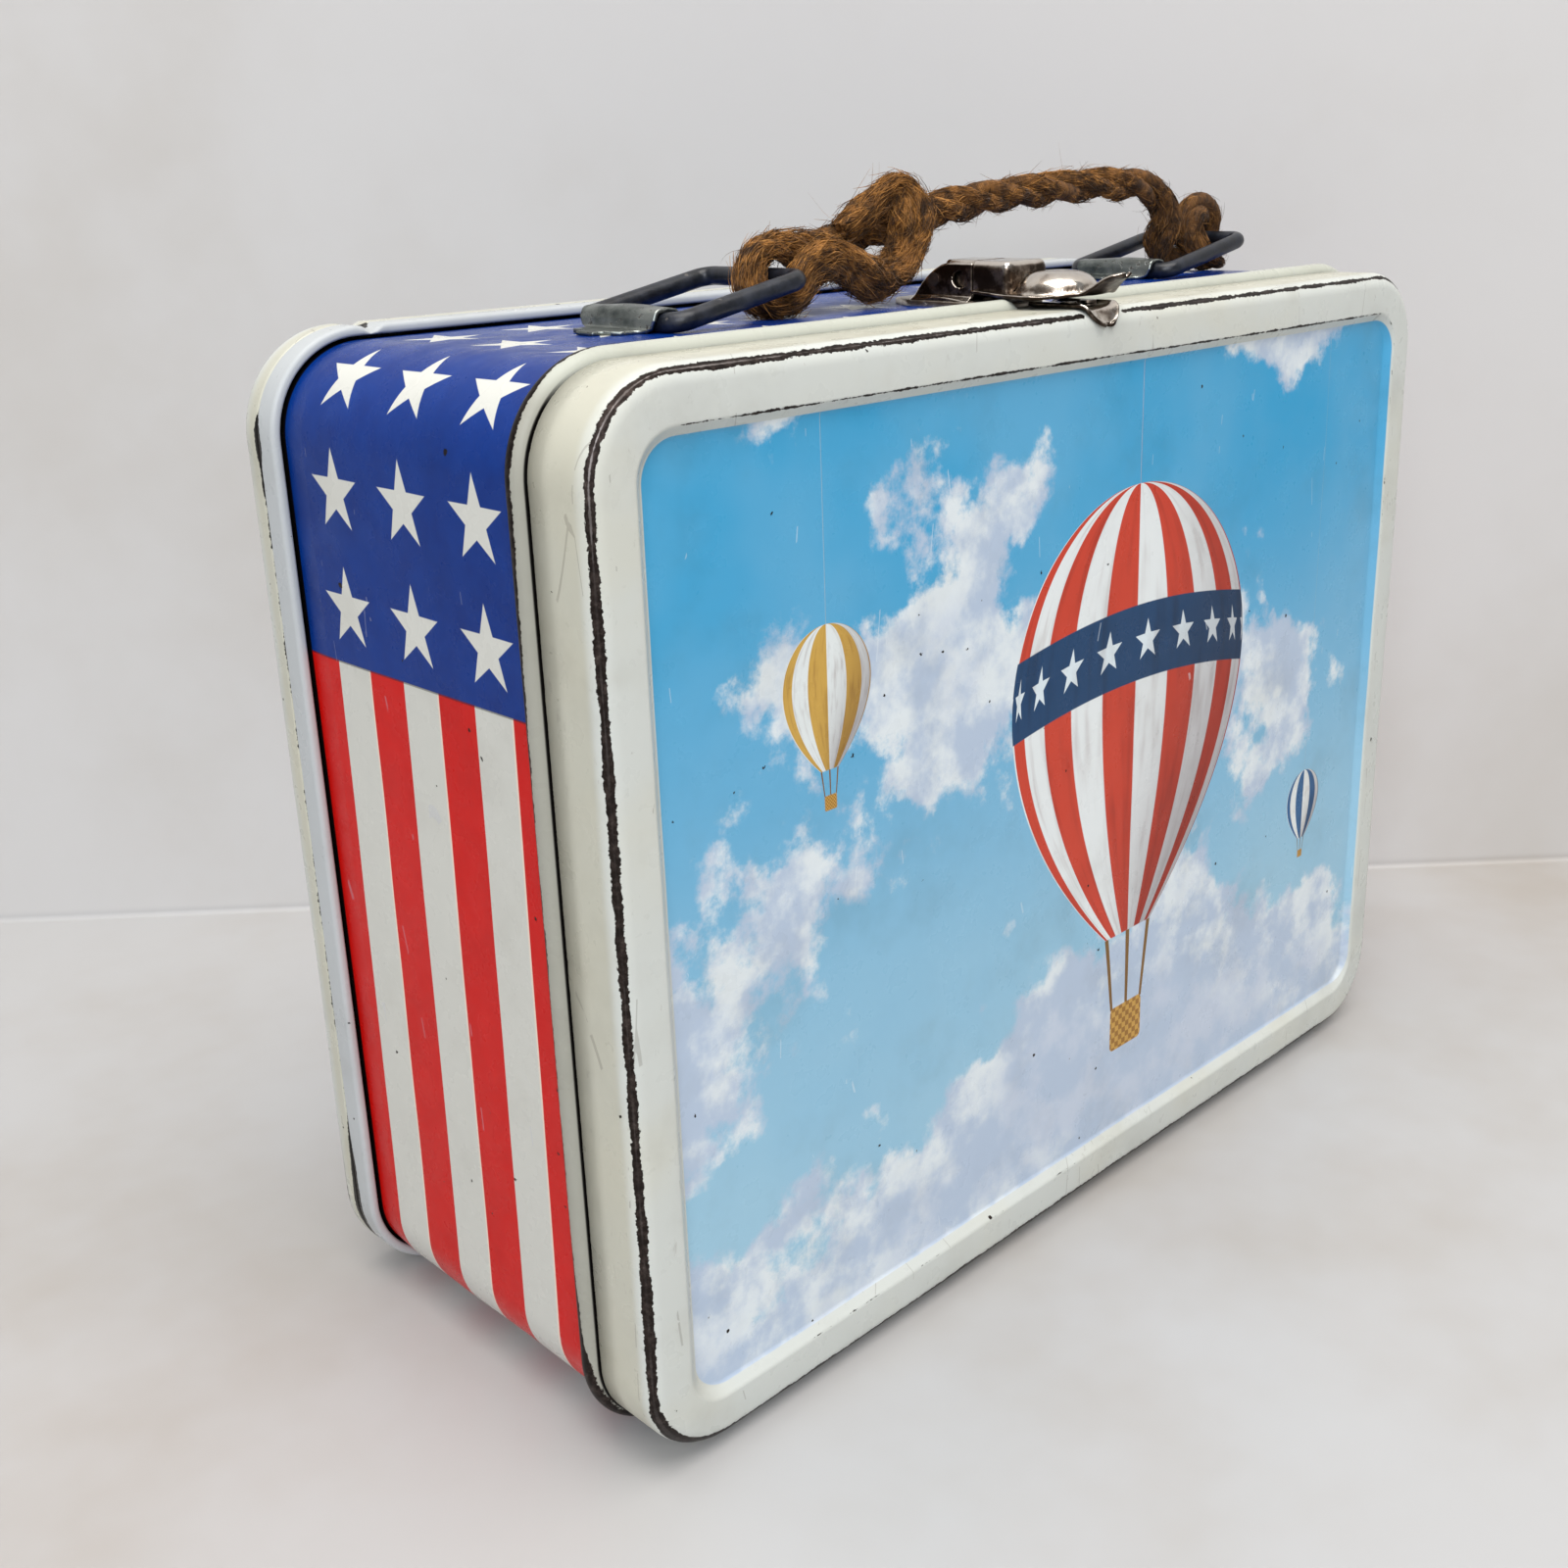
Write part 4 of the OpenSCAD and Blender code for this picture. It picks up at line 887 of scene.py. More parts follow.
def sunk_panel(face, inward):
    """The end of a lid's or back's outline: the border at Y face, the sloping step and the panel."""
    return [(7.4, face), (5.6, face + 1.6*inward), (3.0, face + 1.6*inward)]


tinplate = bare_metal("tinplate_dull", "#7f7c74", "#a9a69c", "#5b4632", 0.36, (1.0, 6.0, 1.0), 0.66, 0.01)
galvanised = bare_metal("galvanised_steel_sheet", "#4c5452", "#9a9f9b", "#33291f", 0.36,
                        (1.0, 1.4, 1.0), 0.56, 0.03)
steel_wire = bare_metal("plain_steel_wire", "#4a4643", "#7b7570", "#4a3020", 0.38, (4.0, 1.0, 1.0),
                        0.62, 0.02)
wire_lacquer = lacquered_wire()
band_print = litho_band()
lid_print = litho_face("litho_lid_sky_picture", 1.0, False, 0.8, 7.4, LID_OPEN)
back_print = litho_face("litho_back_sky_picture", 2.0, True, 0.0, 9.2, -11.4, RIM_GROOVE)

make_band(band_print, tinplate)
dished_face("lid_shell", "lid", "lid_pan", [lid_print, tinplate],
            [(LID_R, LID_OPEN), (LID_R, LID_FACE)] + sunk_panel(LID_FACE, 1), [3.0, 1.0, 1.2], 1, 11,
            worn_width([-374, -257, -240, -118, -94, -40, -6, -4.4, 3.6, 5, 40, 94, 118, 200, 257, 270,
                        282, 300, 374],
                       [1.35, 1.2, 0.40, 0.40, 0.35, 0.48, 0.52, -0.9, -0.9, 0.50, 0.50, 0.66, 0.70,
                        0.68, 0.8, 1.2, 1.3, 1.25, 1.35]),
            worn_width([-374, -280, -110, -90, -80, 80, 92, 105, 285, 300, 374],
                       [-0.2, -0.3, -0.1, 0.05, 0.16, 0.14, -0.05, -0.5, -0.5, -0.1, -0.1]))
rolled_rim = [(15.3, 40.5), (15.3, RIM_FRONT), (RIM_R, RIM_FRONT), (RIM_R, RIM_GROOVE - 0.3),
              (RIM_R - 0.3, RIM_GROOVE), (RIM_R, RIM_GROOVE + 0.3)]
dished_face("back_shell", "box", "back_panel", [back_print, tinplate],
            rolled_rim + [(RIM_R, BACK_FACE)] + sunk_panel(BACK_FACE, -1),
            [0.6, 1.0, 0.15, 0.15, 0.15, 1.8, 1.0, 1.2], 6, 21,
            worn_width([-374, -257, -200, -117, 0, 117, 200, 245, 262, 280, 374],
                       [0.8, 1.0, 0.5, 0.6, 0.25, 0.45, 0.4, 0.6, 1.3, 1.1, 0.7]),
            worn_width([-374, 0, 374], [-0.3, -0.2, -0.3]), split=(91.3, 1.3),
            groove=worn_width([-374, -117, 60, 89.6, 90.4, 91.6, 92.4, 113, 116, 119, 122, 128, 140, 240,
                               250, 262, 280, 374],
                              [0.0, 0.0, -0.2, -0.15, 2.2, 2.2, -0.15, -0.05, 0.9, 1.0, 0.3, 0.2, 0.08,
                               0.06, 0.9, 1.3, 0.4, 0.0]))
make_knuckles("hinge_knuckles_box", "box", 0, BOX_LEAF_Y, band_print)
make_knuckles("hinge_knuckles_lid", "lid", 1, LID_LEAF_Y, tinplate)

# ---------- latch, catch and handle brackets: stamped sheet ----------

def sheet_piece(name, grid, body, material, thickness, node=None, drop=None):
    """A grid of points (rows, columns, 3), seen with its columns running left as its rows go down, as
    sheet of the given thickness behind it. drop marks the faces left out; node is the CAD piece it
    stands for."""
    points = grid.reshape(-1, 3)
    faces = grid_faces(*grid.shape[:2])[:, ::-1]
    if drop is not None:
        faces = faces[~drop.ravel()]
    piece = put_mesh(name, points, faces, body, [material])
    close_up(piece)
    thick = piece.modifiers.new("sheet", "SOLIDIFY")
    thick.thickness, thick.offset = thickness*MM, -1
    if node:
        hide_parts(node)


HOUSING_FRONT = -17.5           # Y of the front of the latch's housing


def make_latch_base(material, worn_plate):
    """The latch's base: a thin plate with cut corners, and on it a housing open at its front and top.
    The housing's rings are U-shaped in plan; going up, its rear end draws forward along an ellipse, as
    a windscreen does, its top edges turn in, and its foot flares out in a wavy skirt. An oval hole goes
    through each side."""
    front, rear, foot, top = HOUSING_FRONT, -3.2, 172.9, 178.6
    half_width, draw_forward = 5.6, 8.6
    level = np.concatenate([np.full(4, 0.0), np.linspace(0, 1, 40)])
    flare = np.concatenate([[1.5, 1.0, 0.5, 0.2], np.zeros(40)])
    rise = foot + (top - foot)*np.minimum(np.sin(level*math.pi/2), 1)**0.9
    turn_in = 0.9*np.clip((level - 0.72)/0.28, 0, 1)**2
    half = half_width - turn_in + flare
    share = (rise - foot)/(top - foot)
    back = rear - draw_forward*(0.55*share + 0.45*(1 - np.sqrt(1 - share**3))) + 0.3*flare
    t = np.linspace(0, 1, 281)[None, :]
    # along one side, round the rear corner and back along the other side: x and y over t
    bend = 2.0
    reach = (back - front)[:, None] - bend
    across = half[:, None] - bend
    total = 2*reach + math.pi*bend + 2*across
    s = t*total
    a = np.clip((s - reach)/bend, 0, math.pi/2)
    b = np.clip((s - reach - math.pi/2*bend - 2*across)/bend, 0, math.pi/2)
    y = front + np.clip(s, 0, reach) + bend*np.sin(a) - bend*(1 - np.cos(b))
    y = y - np.clip(s - reach - math.pi*bend - 2*across, 0, None)
    x = -half[:, None] + bend*(1 - np.cos(a) + np.sin(b))
    x = x + np.clip(s - reach - math.pi/2*bend, 0, 2*across)
    wave = 0.42*np.cos(2*math.pi*(y + 11.0)/15.0)*np.clip(flare/1.2, 0, 1)[:, None]
    z = np.broadcast_to(rise[:, None], x.shape) + wave - 0.35*np.clip(flare, 0, 2)[:, None]
    grid = np.stack([x, y, z], -1)
    # the oval holes: points inside move out to the oval, and faces inside it go
    hole, hole_r = np.array([-14.8, 175.8]), (1.75, 1.45)
    away = (grid[..., 1:] - hole)/hole_r
    far = np.linalg.norm(away, axis=-1)
    middle = (far[:-1, :-1] + far[1:, :-1] + far[:-1, 1:] + far[1:, 1:])/4
    side = (level > 0)[:, None] & (np.abs(x) > 4.6)
    push = (far < 1.0) & side
    moved = hole + (grid[..., 1:] - hole)/np.maximum(far, 0.05)[..., None]
    grid[..., 1:] = np.where(push[..., None], moved, grid[..., 1:])
    drop = (middle < 1.0) & side[:-1, :-1] & side[1:, 1:]
    sheet_piece("latch_housing", grid, "box", material, 0.6, "latch_base", drop)
    corners = np.array([(0, 3), (3, 3), (7.4, -4), (7.4, -22), (5.4, -24.6), (-5.4, -24.6), (-7.4, -22),
                        (-7.4, -4), (-3, 3), (0, 3)], float)
    edge, _ = rounded(corners, [1.5, 2.5, 1.0, 0.8, 0.8, 1.0, 2.5, 1.5])
    plate_middle = np.array([0, -11.0])
    # share of the outline's size, and height
    levels = [(1.0, BAND_TOP), (1.0, 171.9), (0.98, 172.15), (0.5, 172.2), (0.02, 172.2)]
    plate = np.array([np.column_stack([plate_middle + (edge - plate_middle)*k, np.full(len(edge), h)])
                      for k, h in levels])
    piece = put_mesh("latch_plate", plate.reshape(-1, 3), grid_faces(*plate.shape[:2])[:, ::-1], "box",
                     [worn_plate])
    close_up(piece)


def make_lever(material):
    """The latch's lever: a channel pressed from sheet, narrow between the housing's walls and wide in
    front of them, closed at its end; and a skirt that sags along its sides, rises to a domed thumb
    button and turns up in a rounded lip."""
    # channel: an arch of width and height that change along Y
    step, end_y, end_r = HOUSING_FRONT - 0.2, -24.4, 1.2
    y = np.concatenate([np.linspace(-10.6, -17.6, 10), [-17.85, -17.9], np.linspace(-18.4, end_y, 12),
                        end_y - end_r*np.sin(np.linspace(0.15, math.pi/2, 8))])
    end = end_r*(1 - np.sqrt(np.clip(1 - (np.clip(end_y - y, 0, end_r)/end_r)**2, 0, 1)))
    half = np.where(y > step, 4.45, 5.55) - end
    top = np.where(y > step, 179.0, 178.95) - end
    t = np.linspace(-1, 1, 61)
    corner, drop = 1.3, 5.2 - end
    s = t[None, :]*(half - corner + math.pi/2*corner + drop - corner)[:, None]
    flat = (half - corner)[:, None]
    a = np.clip((np.abs(s) - flat)/corner, 0, math.pi/2)
    x = np.sign(s)*(np.minimum(np.abs(s), flat) + corner*np.sin(a))
    z = top[:, None] - corner*(1 - np.cos(a)) - np.clip(np.abs(s) - flat - math.pi/2*corner, 0, None)
    grid = np.stack([x, np.broadcast_to(y[:, None], x.shape), z], -1)
    # a cap closes the end: rows that draw in to its middle
    last = grid[-1]
    cap = [last*(1 - k) + k*np.array([0, last[0, 1], last[:, 2].mean()]) for k in (0.35, 0.7, 0.97)]
    channel = np.concatenate([grid, cap])
    sheet_piece("latch_lever_channel", channel, "lever", material, 0.5)
    # skirt: plan half-width along Y, and height over it
    level, tip = 174.3, -45.9
    button_y, button_r, button_rise = -32.0, (7.3, 6.9), 3.15
    y = np.concatenate([np.linspace(-18.2, -40, 60), np.linspace(-40.3, tip, 26)])
    half = np.interp(y, [tip, -45.6, -44.9, -43.6, -42, -40, -37, -32.5, -28, -23, -18.2],
                     [0.5, 1.5, 2.3, 2.9, 3.5, 4.7, 7.2, 8.9, 8.7, 7.7, 6.7])
    t = np.linspace(-1, 1, 81)
    x = half[:, None]*t[None, :]
    yy = np.broadcast_to(y[:, None], x.shape)
    sagging = np.interp(y, [tip, -41, -34, -27, -18.2], [0, 0.2, 1.0, 1.2, 0.3])
    sag = 0.55*np.abs(t)[None, :]**4*sagging[:, None]
    lip = 0.52*np.clip(-40.2 - y, 0, None)**1.04 - 0.05*np.clip(-42.5 - y, 0, None)**2
    lip_curl = 0.5*np.abs(t)[None, :]**2*np.clip((-40.5 - y)/3, 0, 1)[:, None]
    z = level + lip[:, None] - sag + lip_curl
    button = np.hypot(x/button_r[0], (yy - button_y)/button_r[1])
    z = z + button_rise*np.clip(1 - button**3.2, 0, 1)**0.66 - 0.30*np.exp(-((button - 1.08)/0.10)**2)
    grid = np.stack([x, yy, z], -1)
    sheet_piece("latch_lever_skirt", grid, "lever", material, 0.55, "latch_lever")


def make_catch(material):
    """The catch on the lid: a strip that runs to the lid's edge, widens to a spoon-shaped tongue with
    raised rims and bends down over the edge; its profile is carried across its width."""
    path, length = refine(*rounded([(-29.2, 172.2), (-41.2, 172.2), (-42.7, 169.0)], [2.0], 10), 0.35)
    near_end = length[-1] - length
    half = np.interp(near_end, [0, 0.25, 0.8, 1.6, 2.8, 4.2, 5.4, 6.6, 7.6, 20],
                     [0.8, 1.7, 2.7, 3.5, 4.2, 4.6, 4.5, 4.4, 4.3, 4.3])
    t = np.linspace(-1, 1, 41)
    along = unit(np.gradient(path, axis=0))
    normal = np.stack([along[:, 1], -along[:, 0]], 1)
    dish = 0.50*(np.abs(t)[None, :]**3 - 0.5)
    grid = np.stack([half[:, None]*t[None, :], path[:, :1] + normal[:, :1]*dish,
                     path[:, 1:] + normal[:, 1:]*dish], -1)
    sheet_piece("catch_strip", grid, "lid", material, 0.65, "catch_plate")


BRACKET_Y = MIDDLE_Y + 2.0      # Y of the middle of a handle bracket


def make_bracket(name, node, x0, material, squeeze):
    """A handle bracket: sheet arched over the loop's wire, with a foot on each side. The profile is
    drawn along Y, shorter at its feet; squeeze flattens the arch a little more at one end."""
    foot = BAND_TOP + 0.65
    outline = [(x0 - 9.3, foot), (x0 - 3.0, foot), (x0 - 2.8, 173.3), (x0 - 2.2, 174.95),
               (x0 + 0.2, 175.2), (x0 + 2.3, 174.8), (x0 + 2.8, 173.3), (x0 + 3.0, foot),
               (x0 + 5.3, foot)]
    path, _ = refine(*rounded(outline, [0.5, 2.0, 1.8, 2.0, 1.8, 2.0, 0.5], 8), 0.5)
    reach = np.interp(path[:, 0] - x0, [-9.3, -7.4, -7.0, -3.6, -2.8, 2.8, 3.4, 5.3],
                      [2.0, 2.2, 5.9, 6.2, 9.25, 9.25, 5.4, 4.6])
    t = np.linspace(-1, 1, 49)
    y = BRACKET_Y + reach[:, None]*t[None, :]
    lift = np.clip((path[:, 1] - 172.5)/4, 0, 1)[:, None]
    z = path[:, 1:] - lift*(squeeze*(0.5 + 0.5*t[None, :]) + 0.25*np.sin(3.1*t[None, :] + x0))
    x = path[:, :1] + 0.12*np.sin(2.3*t[None, :] + 2*x0)*lift
    sheet_piece(name, np.stack([x, y, z], -1), "box", material, 0.6, node)


def plated(name):
    """Nickel plate gone brown with age: bright where it is rubbed, nearly black where it has
    tarnished, in soft patches with fine scuffs; faces that turn upwards are lighter by a painted
    highlight."""
    material, tree, mm = new_material(name)
    broad = add(tree, "Math.MULTIPLY", grain(tree, mm, 9.0, 2.0), 0.3)
    age = add(tree, "Math.MULTIPLY_ADD", grain(tree, mm, 3.2, 4.0, 0.62), 0.7, broad)
    # painted highlight: faces that turn upwards are made lighter
    upward = add(tree, "SeparateXYZ", add(tree, "NewGeometry", out=1), out=2)
    rubbed_and_highlit = add(tree, "Math.ADD", age, ramp(tree, upward, 0.1, 0.8, -0.13, 0.20))
    colour = add(tree, "ValToRGB", rubbed_and_highlit, stops=[
        (0, "#17110d"), (0.36, "#3a2f27"), (0.47, "#85786c"), (0.60, "#cfc6bb"), (1, "#efe9e0")])
    fine = grain(tree, mm, 0.35, 3.0, 0.6, (1.0, 4.0, 1.0))
    rough = add(tree, "Math.MULTIPLY_ADD", fine, 0.14, ramp(tree, rubbed_and_highlit, 0.35, 0.7, 0.30, 0.07))
    height = add(tree, "Math.MULTIPLY_ADD", fine, 0.006, add(tree, "Math.MULTIPLY", age, 0.10))
    finish_material(tree, surface_of(tree, colour, rough, 1.0, height))
    return material


nickel = plated("nickel_plate_tarnished")
worn_plate = bare_metal("steel_plate_worn_beige", "#a0968a", "#cfc8bd", "#3a3029", 0.34,
                        (1.0, 1.0, 1.0), 0.58, 0.02)
make_latch_base(nickel, worn_plate)
make_lever(nickel)
make_catch(nickel)
make_bracket("bracket_left_sheet", "handle_bracket_left", -64.0, galvanised, 0.0)
make_bracket("bracket_right_sheet", "handle_bracket_right", 68.0, galvanised, 0.35)

for node, material in (("neck_ring", tinplate), ("hinge_pin", steel_wire),
                       ("latch_pin", steel_wire), ("latch_spring", steel_wire),
                       ("latch_rivets", nickel), ("catch_rivets", nickel),
                       ("handle_loop_left", wire_lacquer), ("handle_loop_right", wire_lacquer),
                       ("bottle_clip", steel_wire), ("clip_ear_left", tinplate),
                       ("clip_ear_right", tinplate), ("clip_rivets", tinplate)):
    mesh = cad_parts[node].data
    mesh.materials.clear()
    mesh.materials.append(material)
    mesh.polygons.foreach_set("use_smooth", np.ones(len(mesh.polygons), bool))


# ---------- rope ----------

# Route of the rope in mm: X, Y, height above the band, and the radius where it is squeezed or full
ROPE_ROUTE = np.array([
    [97.6, -3.4, 2.8, 1.8], [94.6, -2.9, 2.5, 2.3], [91.6, -2.0, 3.8, 2.5], [90, -0.8, 7.2, 2.8],
    [90.8, 0.5, 11.2, 3.0], [94.9, 1.4, 13, 3.0], [99.4, 2.2, 11.4, 2.9], [101, 3.4, 7, 2.6],
    [98, 4.7, 3.2, 2.4], [92.8, 5.4, 2.5, 2.4], [88.2, 5.6, 3.6, 2.7], [85.9, 4.6, 7, 3.0],
    [85.6, 3.4, 11.2, 3.1], [83.6, 3.2, 15.2, 3.0], [77.6, 3.2, 17.8, 2.9], [69, 3.6, 18.8, 2.9],
    [53, 5.1, 18.7, 2.9], [36, 6.5, 17.8, 2.9], [20, 7.6, 16.1, 2.9], [8, 7.4, 14.4, 2.9],
    [-2, 6.4, 12.9, 2.9], [-12, 5, 11.4, 2.9], [-20, 3.4, 10.4, 2.9], [-28, 1.5, 10.7, 2.7],
    [-34.4, -0.3, 11.3, 2.4], [-39.7, -1.2, 9.9, 2.3], [-41.6, -1.8, 6.4, 2.3], [-40, -2.6, 3.4, 2.3],
    [-36.4, -3.4, 2.5, 2.3], [-32.8, -4, 4.2, 2.3], [-30.6, -4.3, 7.4, 2.6], [-26, -4.4, 9.1, 2.8],
    [-20, -3.9, 7.4, 3], [-14, -3, 4.9, 3.1], [-8.6, -2.1, 4.8, 3.1], [-4, -1.3, 7.1, 3.1],
    [-1.4, -1, 11, 3.1], [-0.8, -0.9, 15, 3], [-1.8, -0.6, 18.9, 2.5], [-4.0, -0.2, 20.8, 1.8],
    [-7.8, 0.5, 18.4, 2.0], [-12, 1.2, 15.4, 2.3], [-16, 1.8, 13, 1.6]])
LAY = 33.0                      # length of one turn of the three strands
TAIL = 74.0                     # length of the frayed tail
ROPE_STEP = 0.45                # between the rings of its yarns
YARN_TURN = 11.0                # length of one turn of the grooves round a yarn


def through(route, steps):
    """Smooth curve through the route: between two points, the cubic whose ends lean as the points
    before and after them do, in the given number of steps."""
    q = np.vstack([route[:1], route, route[-1:]])
    a, b, c, d = q[:-3], q[1:-2], q[2:-1], q[3:]
    t = (np.arange(steps)/steps)[None, :, None]
    a, b, c, d = (p[:, None, :] for p in (a, b, c, d))
    curve = 0.5*(2*b + (c - a)*t + (2*a - 5*b + 4*c - d)*t**2 + (3*b - a - 3*c + d)*t**3)
    return np.vstack([curve.reshape(-1, route.shape[1]), route[-1:]])


def rope_line(step):
    """Points along the rope at even steps, with their distance, radius, and side and up directions. The
    frayed tail is looser and so a little wider."""
    curve = through(ROPE_ROUTE, 24)
    curve[:, 1] += MIDDLE_Y
    curve[:, 2] += BAND_TOP
    length = distances(curve[:, :3])
    marks = np.linspace(0, length[-1], int(length[-1]/step) + 1)
    even = np.stack([np.interp(marks, length, curve[:, i]) for i in range(4)], 1)
    frayed = np.clip((marks - (marks[-1] - TAIL))/12.0, 0, 1)
    even[:, 3] *= 1.03 + frayed*(0.05 + 0.06*np.sin(marks/2.9) + 0.03*np.sin(marks/1.3))
    tangent = unit(np.gradient(even[:, :3], axis=0))
    side = unit(np.array([0, 1.0, 0]) - tangent*tangent[:, 1:2])
    return marks, even[:, :3], even[:, 3], tangent, side, np.cross(tangent, side)


def strand_turns(marks):
    """Angle of the first strand round the rope's line: one turn in each lay length, ever slower in the
    frayed tail, whose yarns lie side by side."""
    frayed = np.clip((marks - (marks[-1] - TAIL))/20.0, 0, 1)
    rate = 2*math.pi/LAY*(1 - 0.85*frayed)
    return np.concatenate([[0], np.cumsum(rate[1:]*np.diff(marks))]) + 0.25*np.sin(marks/9.0)


def strand_shape(marks, radius, strand):
    """How far a strand's middle lies from the rope's line, and the strand's own radius, along it."""
    return (0.50*radius*(1 + 0.08*np.sin(marks/6.1 + 2*strand)),
            0.54*radius*(1 + 0.07*np.sin(marks/3.7 + strand) + 0.05*np.sin(marks/1.9 + 5*strand)))


def make_rope(material):
    """Three yarns laid round each other: each yarn's middle is a helix about the rope's line, at half
    its radius, and its own section is a circle swelled and grooved by seeded waves along the yarn."""
    marks, line, radius, _, side, up = rope_line(ROPE_STEP)
    count, sides = len(marks), 26
    rng = np.random.default_rng(3)
    around = np.linspace(0, 2*math.pi, sides, endpoint=False)
    points, faces, uv = [], [], []
    for strand in range(3):
        turn = strand_turns(marks) + 2*math.pi*strand/3
        reach, swell = strand_shape(marks, radius, strand)
        middle = line + reach[:, None]*(np.cos(turn)[:, None]*side + np.sin(turn)[:, None]*up)
        along = unit(np.gradient(middle, axis=0))
        first = unit(side - along*(side*along).sum(1)[:, None])
        second = np.cross(along, first)
        angle = around[None, :] + 2*math.pi*marks[:, None]/YARN_TURN
        groove = np.zeros((count, sides))
        for k in (3, 5, 8, 11):
            groove += rng.uniform(0.5, 1)*np.sin(k*angle + rng.uniform(0, 6) + 0.8*np.sin(
                marks[:, None]/rng.uniform(2, 6) + rng.uniform(0, 6)))/k**0.6
        rough = rng.normal(0, 1, (count, sides))
        rough = (rough + np.roll(rough, 1, 0) + np.roll(rough, -1, 0))/3
        close = np.clip(np.minimum(marks, marks[-1] - marks)/1.4, 0, 1)
        r = swell[:, None]*(1 + 0.055*groove + 0.030*rough)*np.sqrt(close*(2 - close))[:, None]
        r[0] = r[-1] = 0.02
        ring = middle[:, None, :] + r[..., None]*(np.cos(around)[None, :, None]*first[:, None, :]
                                                  + np.sin(around)[None, :, None]*second[:, None, :])
        grid = grid_faces(count, sides, around=True)
        u = np.broadcast_to(np.arange(sides)[None, :]*0.35, (count - 1, sides))
        v0 = np.broadcast_to(marks[:-1, None] + strand*500, (count - 1, sides))
        v1 = np.broadcast_to(marks[1:, None] + strand*500, (count - 1, sides))
        cell = np.stack([np.stack([u, v0], -1), np.stack([u + 0.35, v0], -1),
                         np.stack([u + 0.35, v1], -1), np.stack([u, v1], -1)], 2).reshape(-1, 4, 2)
        if volume_sign(ring.reshape(-1, 3), grid) < 0:
            grid, cell = grid[:, ::-1], cell[:, ::-1]
        points.append(ring.reshape(-1, 3))
        faces.append(grid + strand*count*sides)
        uv.append(cell)
    rope = put_mesh("rope_yarns", np.vstack(points), np.vstack(faces), "rope", [material],
                    np.concatenate(uv)*MM)
    close_up(rope)
    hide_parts("handle_rope")
    return rope


def make_fibres(material, name, count, lengths, rise, thickness, seed, lean=0.25, low=0.0, high=1.0):
    """Fibres that lie along the rope: each starts on its strands' surface and follows the rope's own
    bends, leaning a little round it, rising from it by the given share of its length and curling by
    seeded waves; a thin tube of three sides that narrows towards its tip. Real fibres are finer and
    closer together; these are as coarse as they need to be to show."""
    marks, line, radius, tangent, side, up = rope_line(ROPE_STEP)
    rng = np.random.default_rng(seed)
    steps = 8
    t = np.linspace(0, 1, steps)[:, None]
    start = rng.uniform(low, high, count)*marks[-1]
    sense = rng.choice([-1.0, 1.0], count)
    length = rng.uniform(*lengths, count)*rng.uniform(0.5, 1, count)
    s = start + sense*length*t
    past = np.clip(s, 0, marks[-1])
    at = lambda values: np.stack([np.interp(past, marks, values[:, i]) for i in range(3)], -1)
    turn = np.interp(past, marks, strand_turns(marks))
    size = np.interp(past, marks, radius)
    slope = rng.normal(lean, 0.30, count)/radius.max()
    angle = rng.uniform(0, 2*math.pi, count) + sense*slope*length*t
    angle = angle + rng.normal(0, 0.16, count)*np.sin(3.0*t + rng.uniform(0, 6, count))
    # the outline of the three strands at that angle
    reach, swell = strand_shape(past, size, 0)
    away = [np.mod(angle - turn - 2*math.pi*k/3 + math.pi, 2*math.pi) - math.pi for k in range(3)]
    outline = np.max([reach*np.cos(a) + np.sqrt(np.clip(swell**2 - (reach*np.sin(a))**2, 0, None))
                      for a in away], axis=0)
    lift = np.abs(rng.normal(0, rise, count))*length*t**1.7
    r = outline + 0.03 + lift + 0.05*size*rng.uniform(0, 1, count)
    radial = np.cos(angle)[..., None]*at(side) + np.sin(angle)[..., None]*at(up)
    turned_back = (past - s)[..., None]*at(tangent)       # at the rope's ends
    curl = rng.normal(0, 1, (2, count, 3))
    curl = curl*(length*(0.03 + 0.5*np.abs(rng.normal(0, rise, count))))[:, None]
    path = at(line) + radial*r[..., None] + turned_back
    path = path + curl[0]*(t**2)[..., None] + 0.5*curl[1]*(np.sin(4*t)*t)[..., None]
    thick = thickness*rng.uniform(0.55, 1.35, count)*(1 - 0.8*t**2)
    direction = unit(np.gradient(path, axis=0))
    first = unit(np.cross(direction, radial + 0.01))
    second = np.cross(direction, first)
    corner = np.arange(3)*2*math.pi/3
    ring = path[:, :, None, :] + thick[..., None, None]*(
        np.cos(corner)[:, None]*first[:, :, None, :] + np.sin(corner)[:, None]*second[:, :, None, :])
    points = ring.transpose(1, 0, 2, 3).reshape(-1, 3)
    one = grid_faces(steps, 3, around=True)
    caps = np.array([[2, 1, 0, -1], [3*steps - 3, 3*steps - 2, 3*steps - 1, -1]])
    if volume_sign(points[:3*steps], one) < 0:
        one, caps = one[:, ::-1], caps[:, [2, 1, 0, 3]]
    one = np.vstack([one, caps])
    faces = np.where(one < 0, -1, one + (np.arange(count)*3*steps)[:, None, None]).reshape(-1, 4)
    uv = np.zeros((len(faces), 4, 2))
    uv[..., 0] = np.repeat(rng.uniform(0, 60, count), len(one))[:, None]*MM
    uv[..., 1] = np.repeat(rng.uniform(0, 400, count), len(one))[:, None]*MM
    return put_mesh(name, points, faces, "rope", [material], uv)


# the yarns are coloured darker than the fibres: painted shade under the fibres that lie over them
yarn = jute("coir_and_jute_yarn_in_painted_shade", "#80552a", "#170e08", 0.05)
fibre = jute("coir_fibre", "#b67f40", "#2a180a", 0.08)
rope = make_rope(yarn)
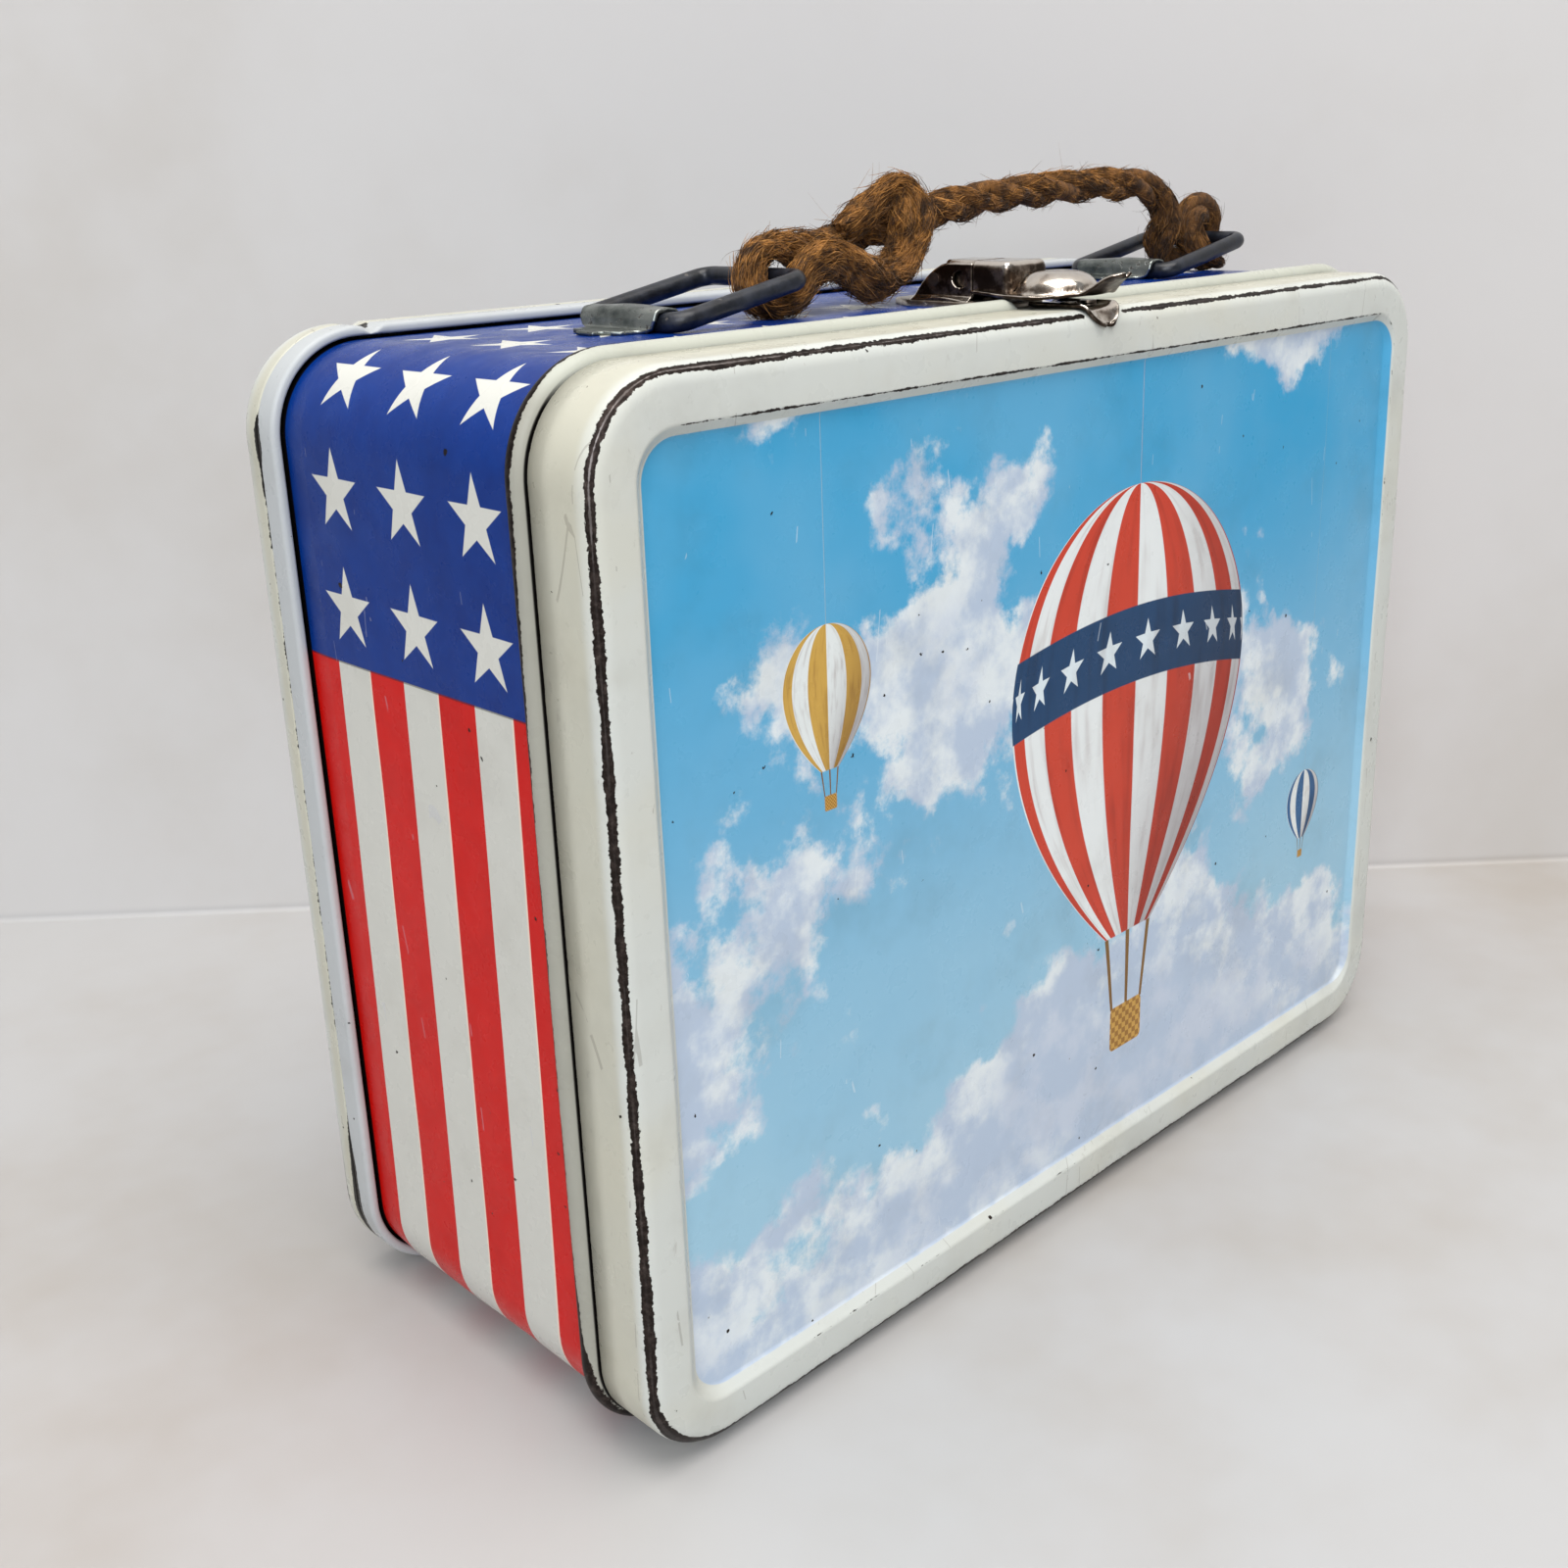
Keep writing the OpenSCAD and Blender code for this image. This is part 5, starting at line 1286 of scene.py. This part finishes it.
# count, shortest and longest in mm, rise, thickness in mm and seed; the tail's lean and place too
fuzz = [make_fibres(fibre, "rope_fibres_" + kind, *settings) for kind, *settings in (
    ("close", 4400, (3.0, 9.0), 0.030, 0.118, 8),
    ("tail", 4300, (3.5, 11.0), 0.100, 0.115, 11, 0.15, 0.68, 1.0),
    ("raised", 3000, (2.5, 7.0), 0.15, 0.070, 9),
    ("loose", 90, (5.0, 11.0), 0.50, 0.045, 10))]
marks, line = rope_line(2.0)[:2]


# ---------- floor, wall and light ----------

def matt_paint(name):
    """Matt card painted off-white: the floor is greyer and a little smoother than the wall, both with
    faint broad stains. From behind it lets everything through, so that the box can be seen from the
    rear."""
    material, tree, mm = new_material(name)
    stain = ramp(tree, grain(tree, mm, 150.0, 5.0, 0.62), 0.42, 0.78)
    floor = blend_colour(tree, stain, "#bbbab9", "#aea8a1")
    crumbs = specks(tree, mm, 70.0, 0.9, 0.5, 3)
    floor = blend_colour(tree, crumbs, floor, "#4a4038", 0.75)
    wall = blend_colour(tree, stain, "#cccac8", "#c3bfba")
    high = ramp(tree, add(tree, "SeparateXYZ", mm, out=2), 0.5, 3.0)
    paint = add(tree, "BsdfPrincipled", {"Base Color": blend_colour(tree, high, floor, wall),
                                         "Roughness": ramp(tree, high, 0.0, 1.0, 0.36, 0.9)})
    behind = add(tree, "NewGeometry", out=6)
    finish_material(tree, add(tree, "MixShader", behind, paint, add(tree, "BsdfTransparent")))
    return material


# The wall: its direction from the middle, its distance, and the radius of the bend at its foot, mm
WALL_OUT, WALL_AT, FOOT_R = (0.6843, 0.7292), 127.5, 1.5
FLOOR_FRONT, STAGE_HALF, WALL_TOP = 3000, 2500, 2500     # mm


def make_stage():
    """Pale floor that bends up into a wall close behind the box, as one strip of sheet."""
    back = np.array(WALL_OUT)
    side = np.array([back[1], -back[0]])
    bend = np.linspace(0, math.pi/2, 13)
    depth = np.concatenate([[-FLOOR_FRONT, -1000], WALL_AT + FOOT_R*(np.sin(bend) - 1),
                            [WALL_AT, WALL_AT]])
    height = np.concatenate([[0, 0], FOOT_R*(1 - np.cos(bend)), [600, WALL_TOP]])
    across = np.linspace(-STAGE_HALF, STAGE_HALF, 21)
    points = np.array([[*(back*d + side*a), h] for d, h in zip(depth, height) for a in across])
    mesh = bpy.data.meshes.new("floor_and_wall")
    mesh.from_pydata((points*MM).tolist(), [], grid_faces(len(depth), len(across)).tolist())
    mesh.materials.append(matt_paint("matt_white_paint"))
    mesh.polygons.foreach_set("use_smooth", np.ones(len(mesh.polygons), bool))
    put_in_scene("floor_and_wall", mesh)


LIGHT_AIM = (0, 0, 0.08)


def add_light(name, place, size, power, colour):
    """Square soft light at a place and of a size in metres, aimed at the middle of the box."""
    data = bpy.data.lights.new(name, "AREA")
    data.size, data.energy, data.color = size, power, hex_colour(colour)[:3]
    aim = (Vector(LIGHT_AIM) - Vector(place)).to_track_quat("-Z", "Y")
    turned = aim.to_matrix().to_4x4()
    put_in_scene(name, data).matrix_world = Matrix.Translation(place) @ turned


make_stage()
world = bpy.data.worlds.new("studio")
world.use_nodes = True
background = world.node_tree.nodes["Background"]
background.inputs["Color"].default_value = hex_colour("#eef2f7")
background.inputs["Strength"].default_value = 0.34
bpy.context.scene.world = world
add_light("ceiling", (-0.1, -0.3, 1.5), 1.3, 25, "#fffbf6")
add_light("window", (-1.1, -1.0, 0.9), 1.0, 16, "#f4f8ff")
bpy.context.scene.view_settings.view_transform = "Standard"
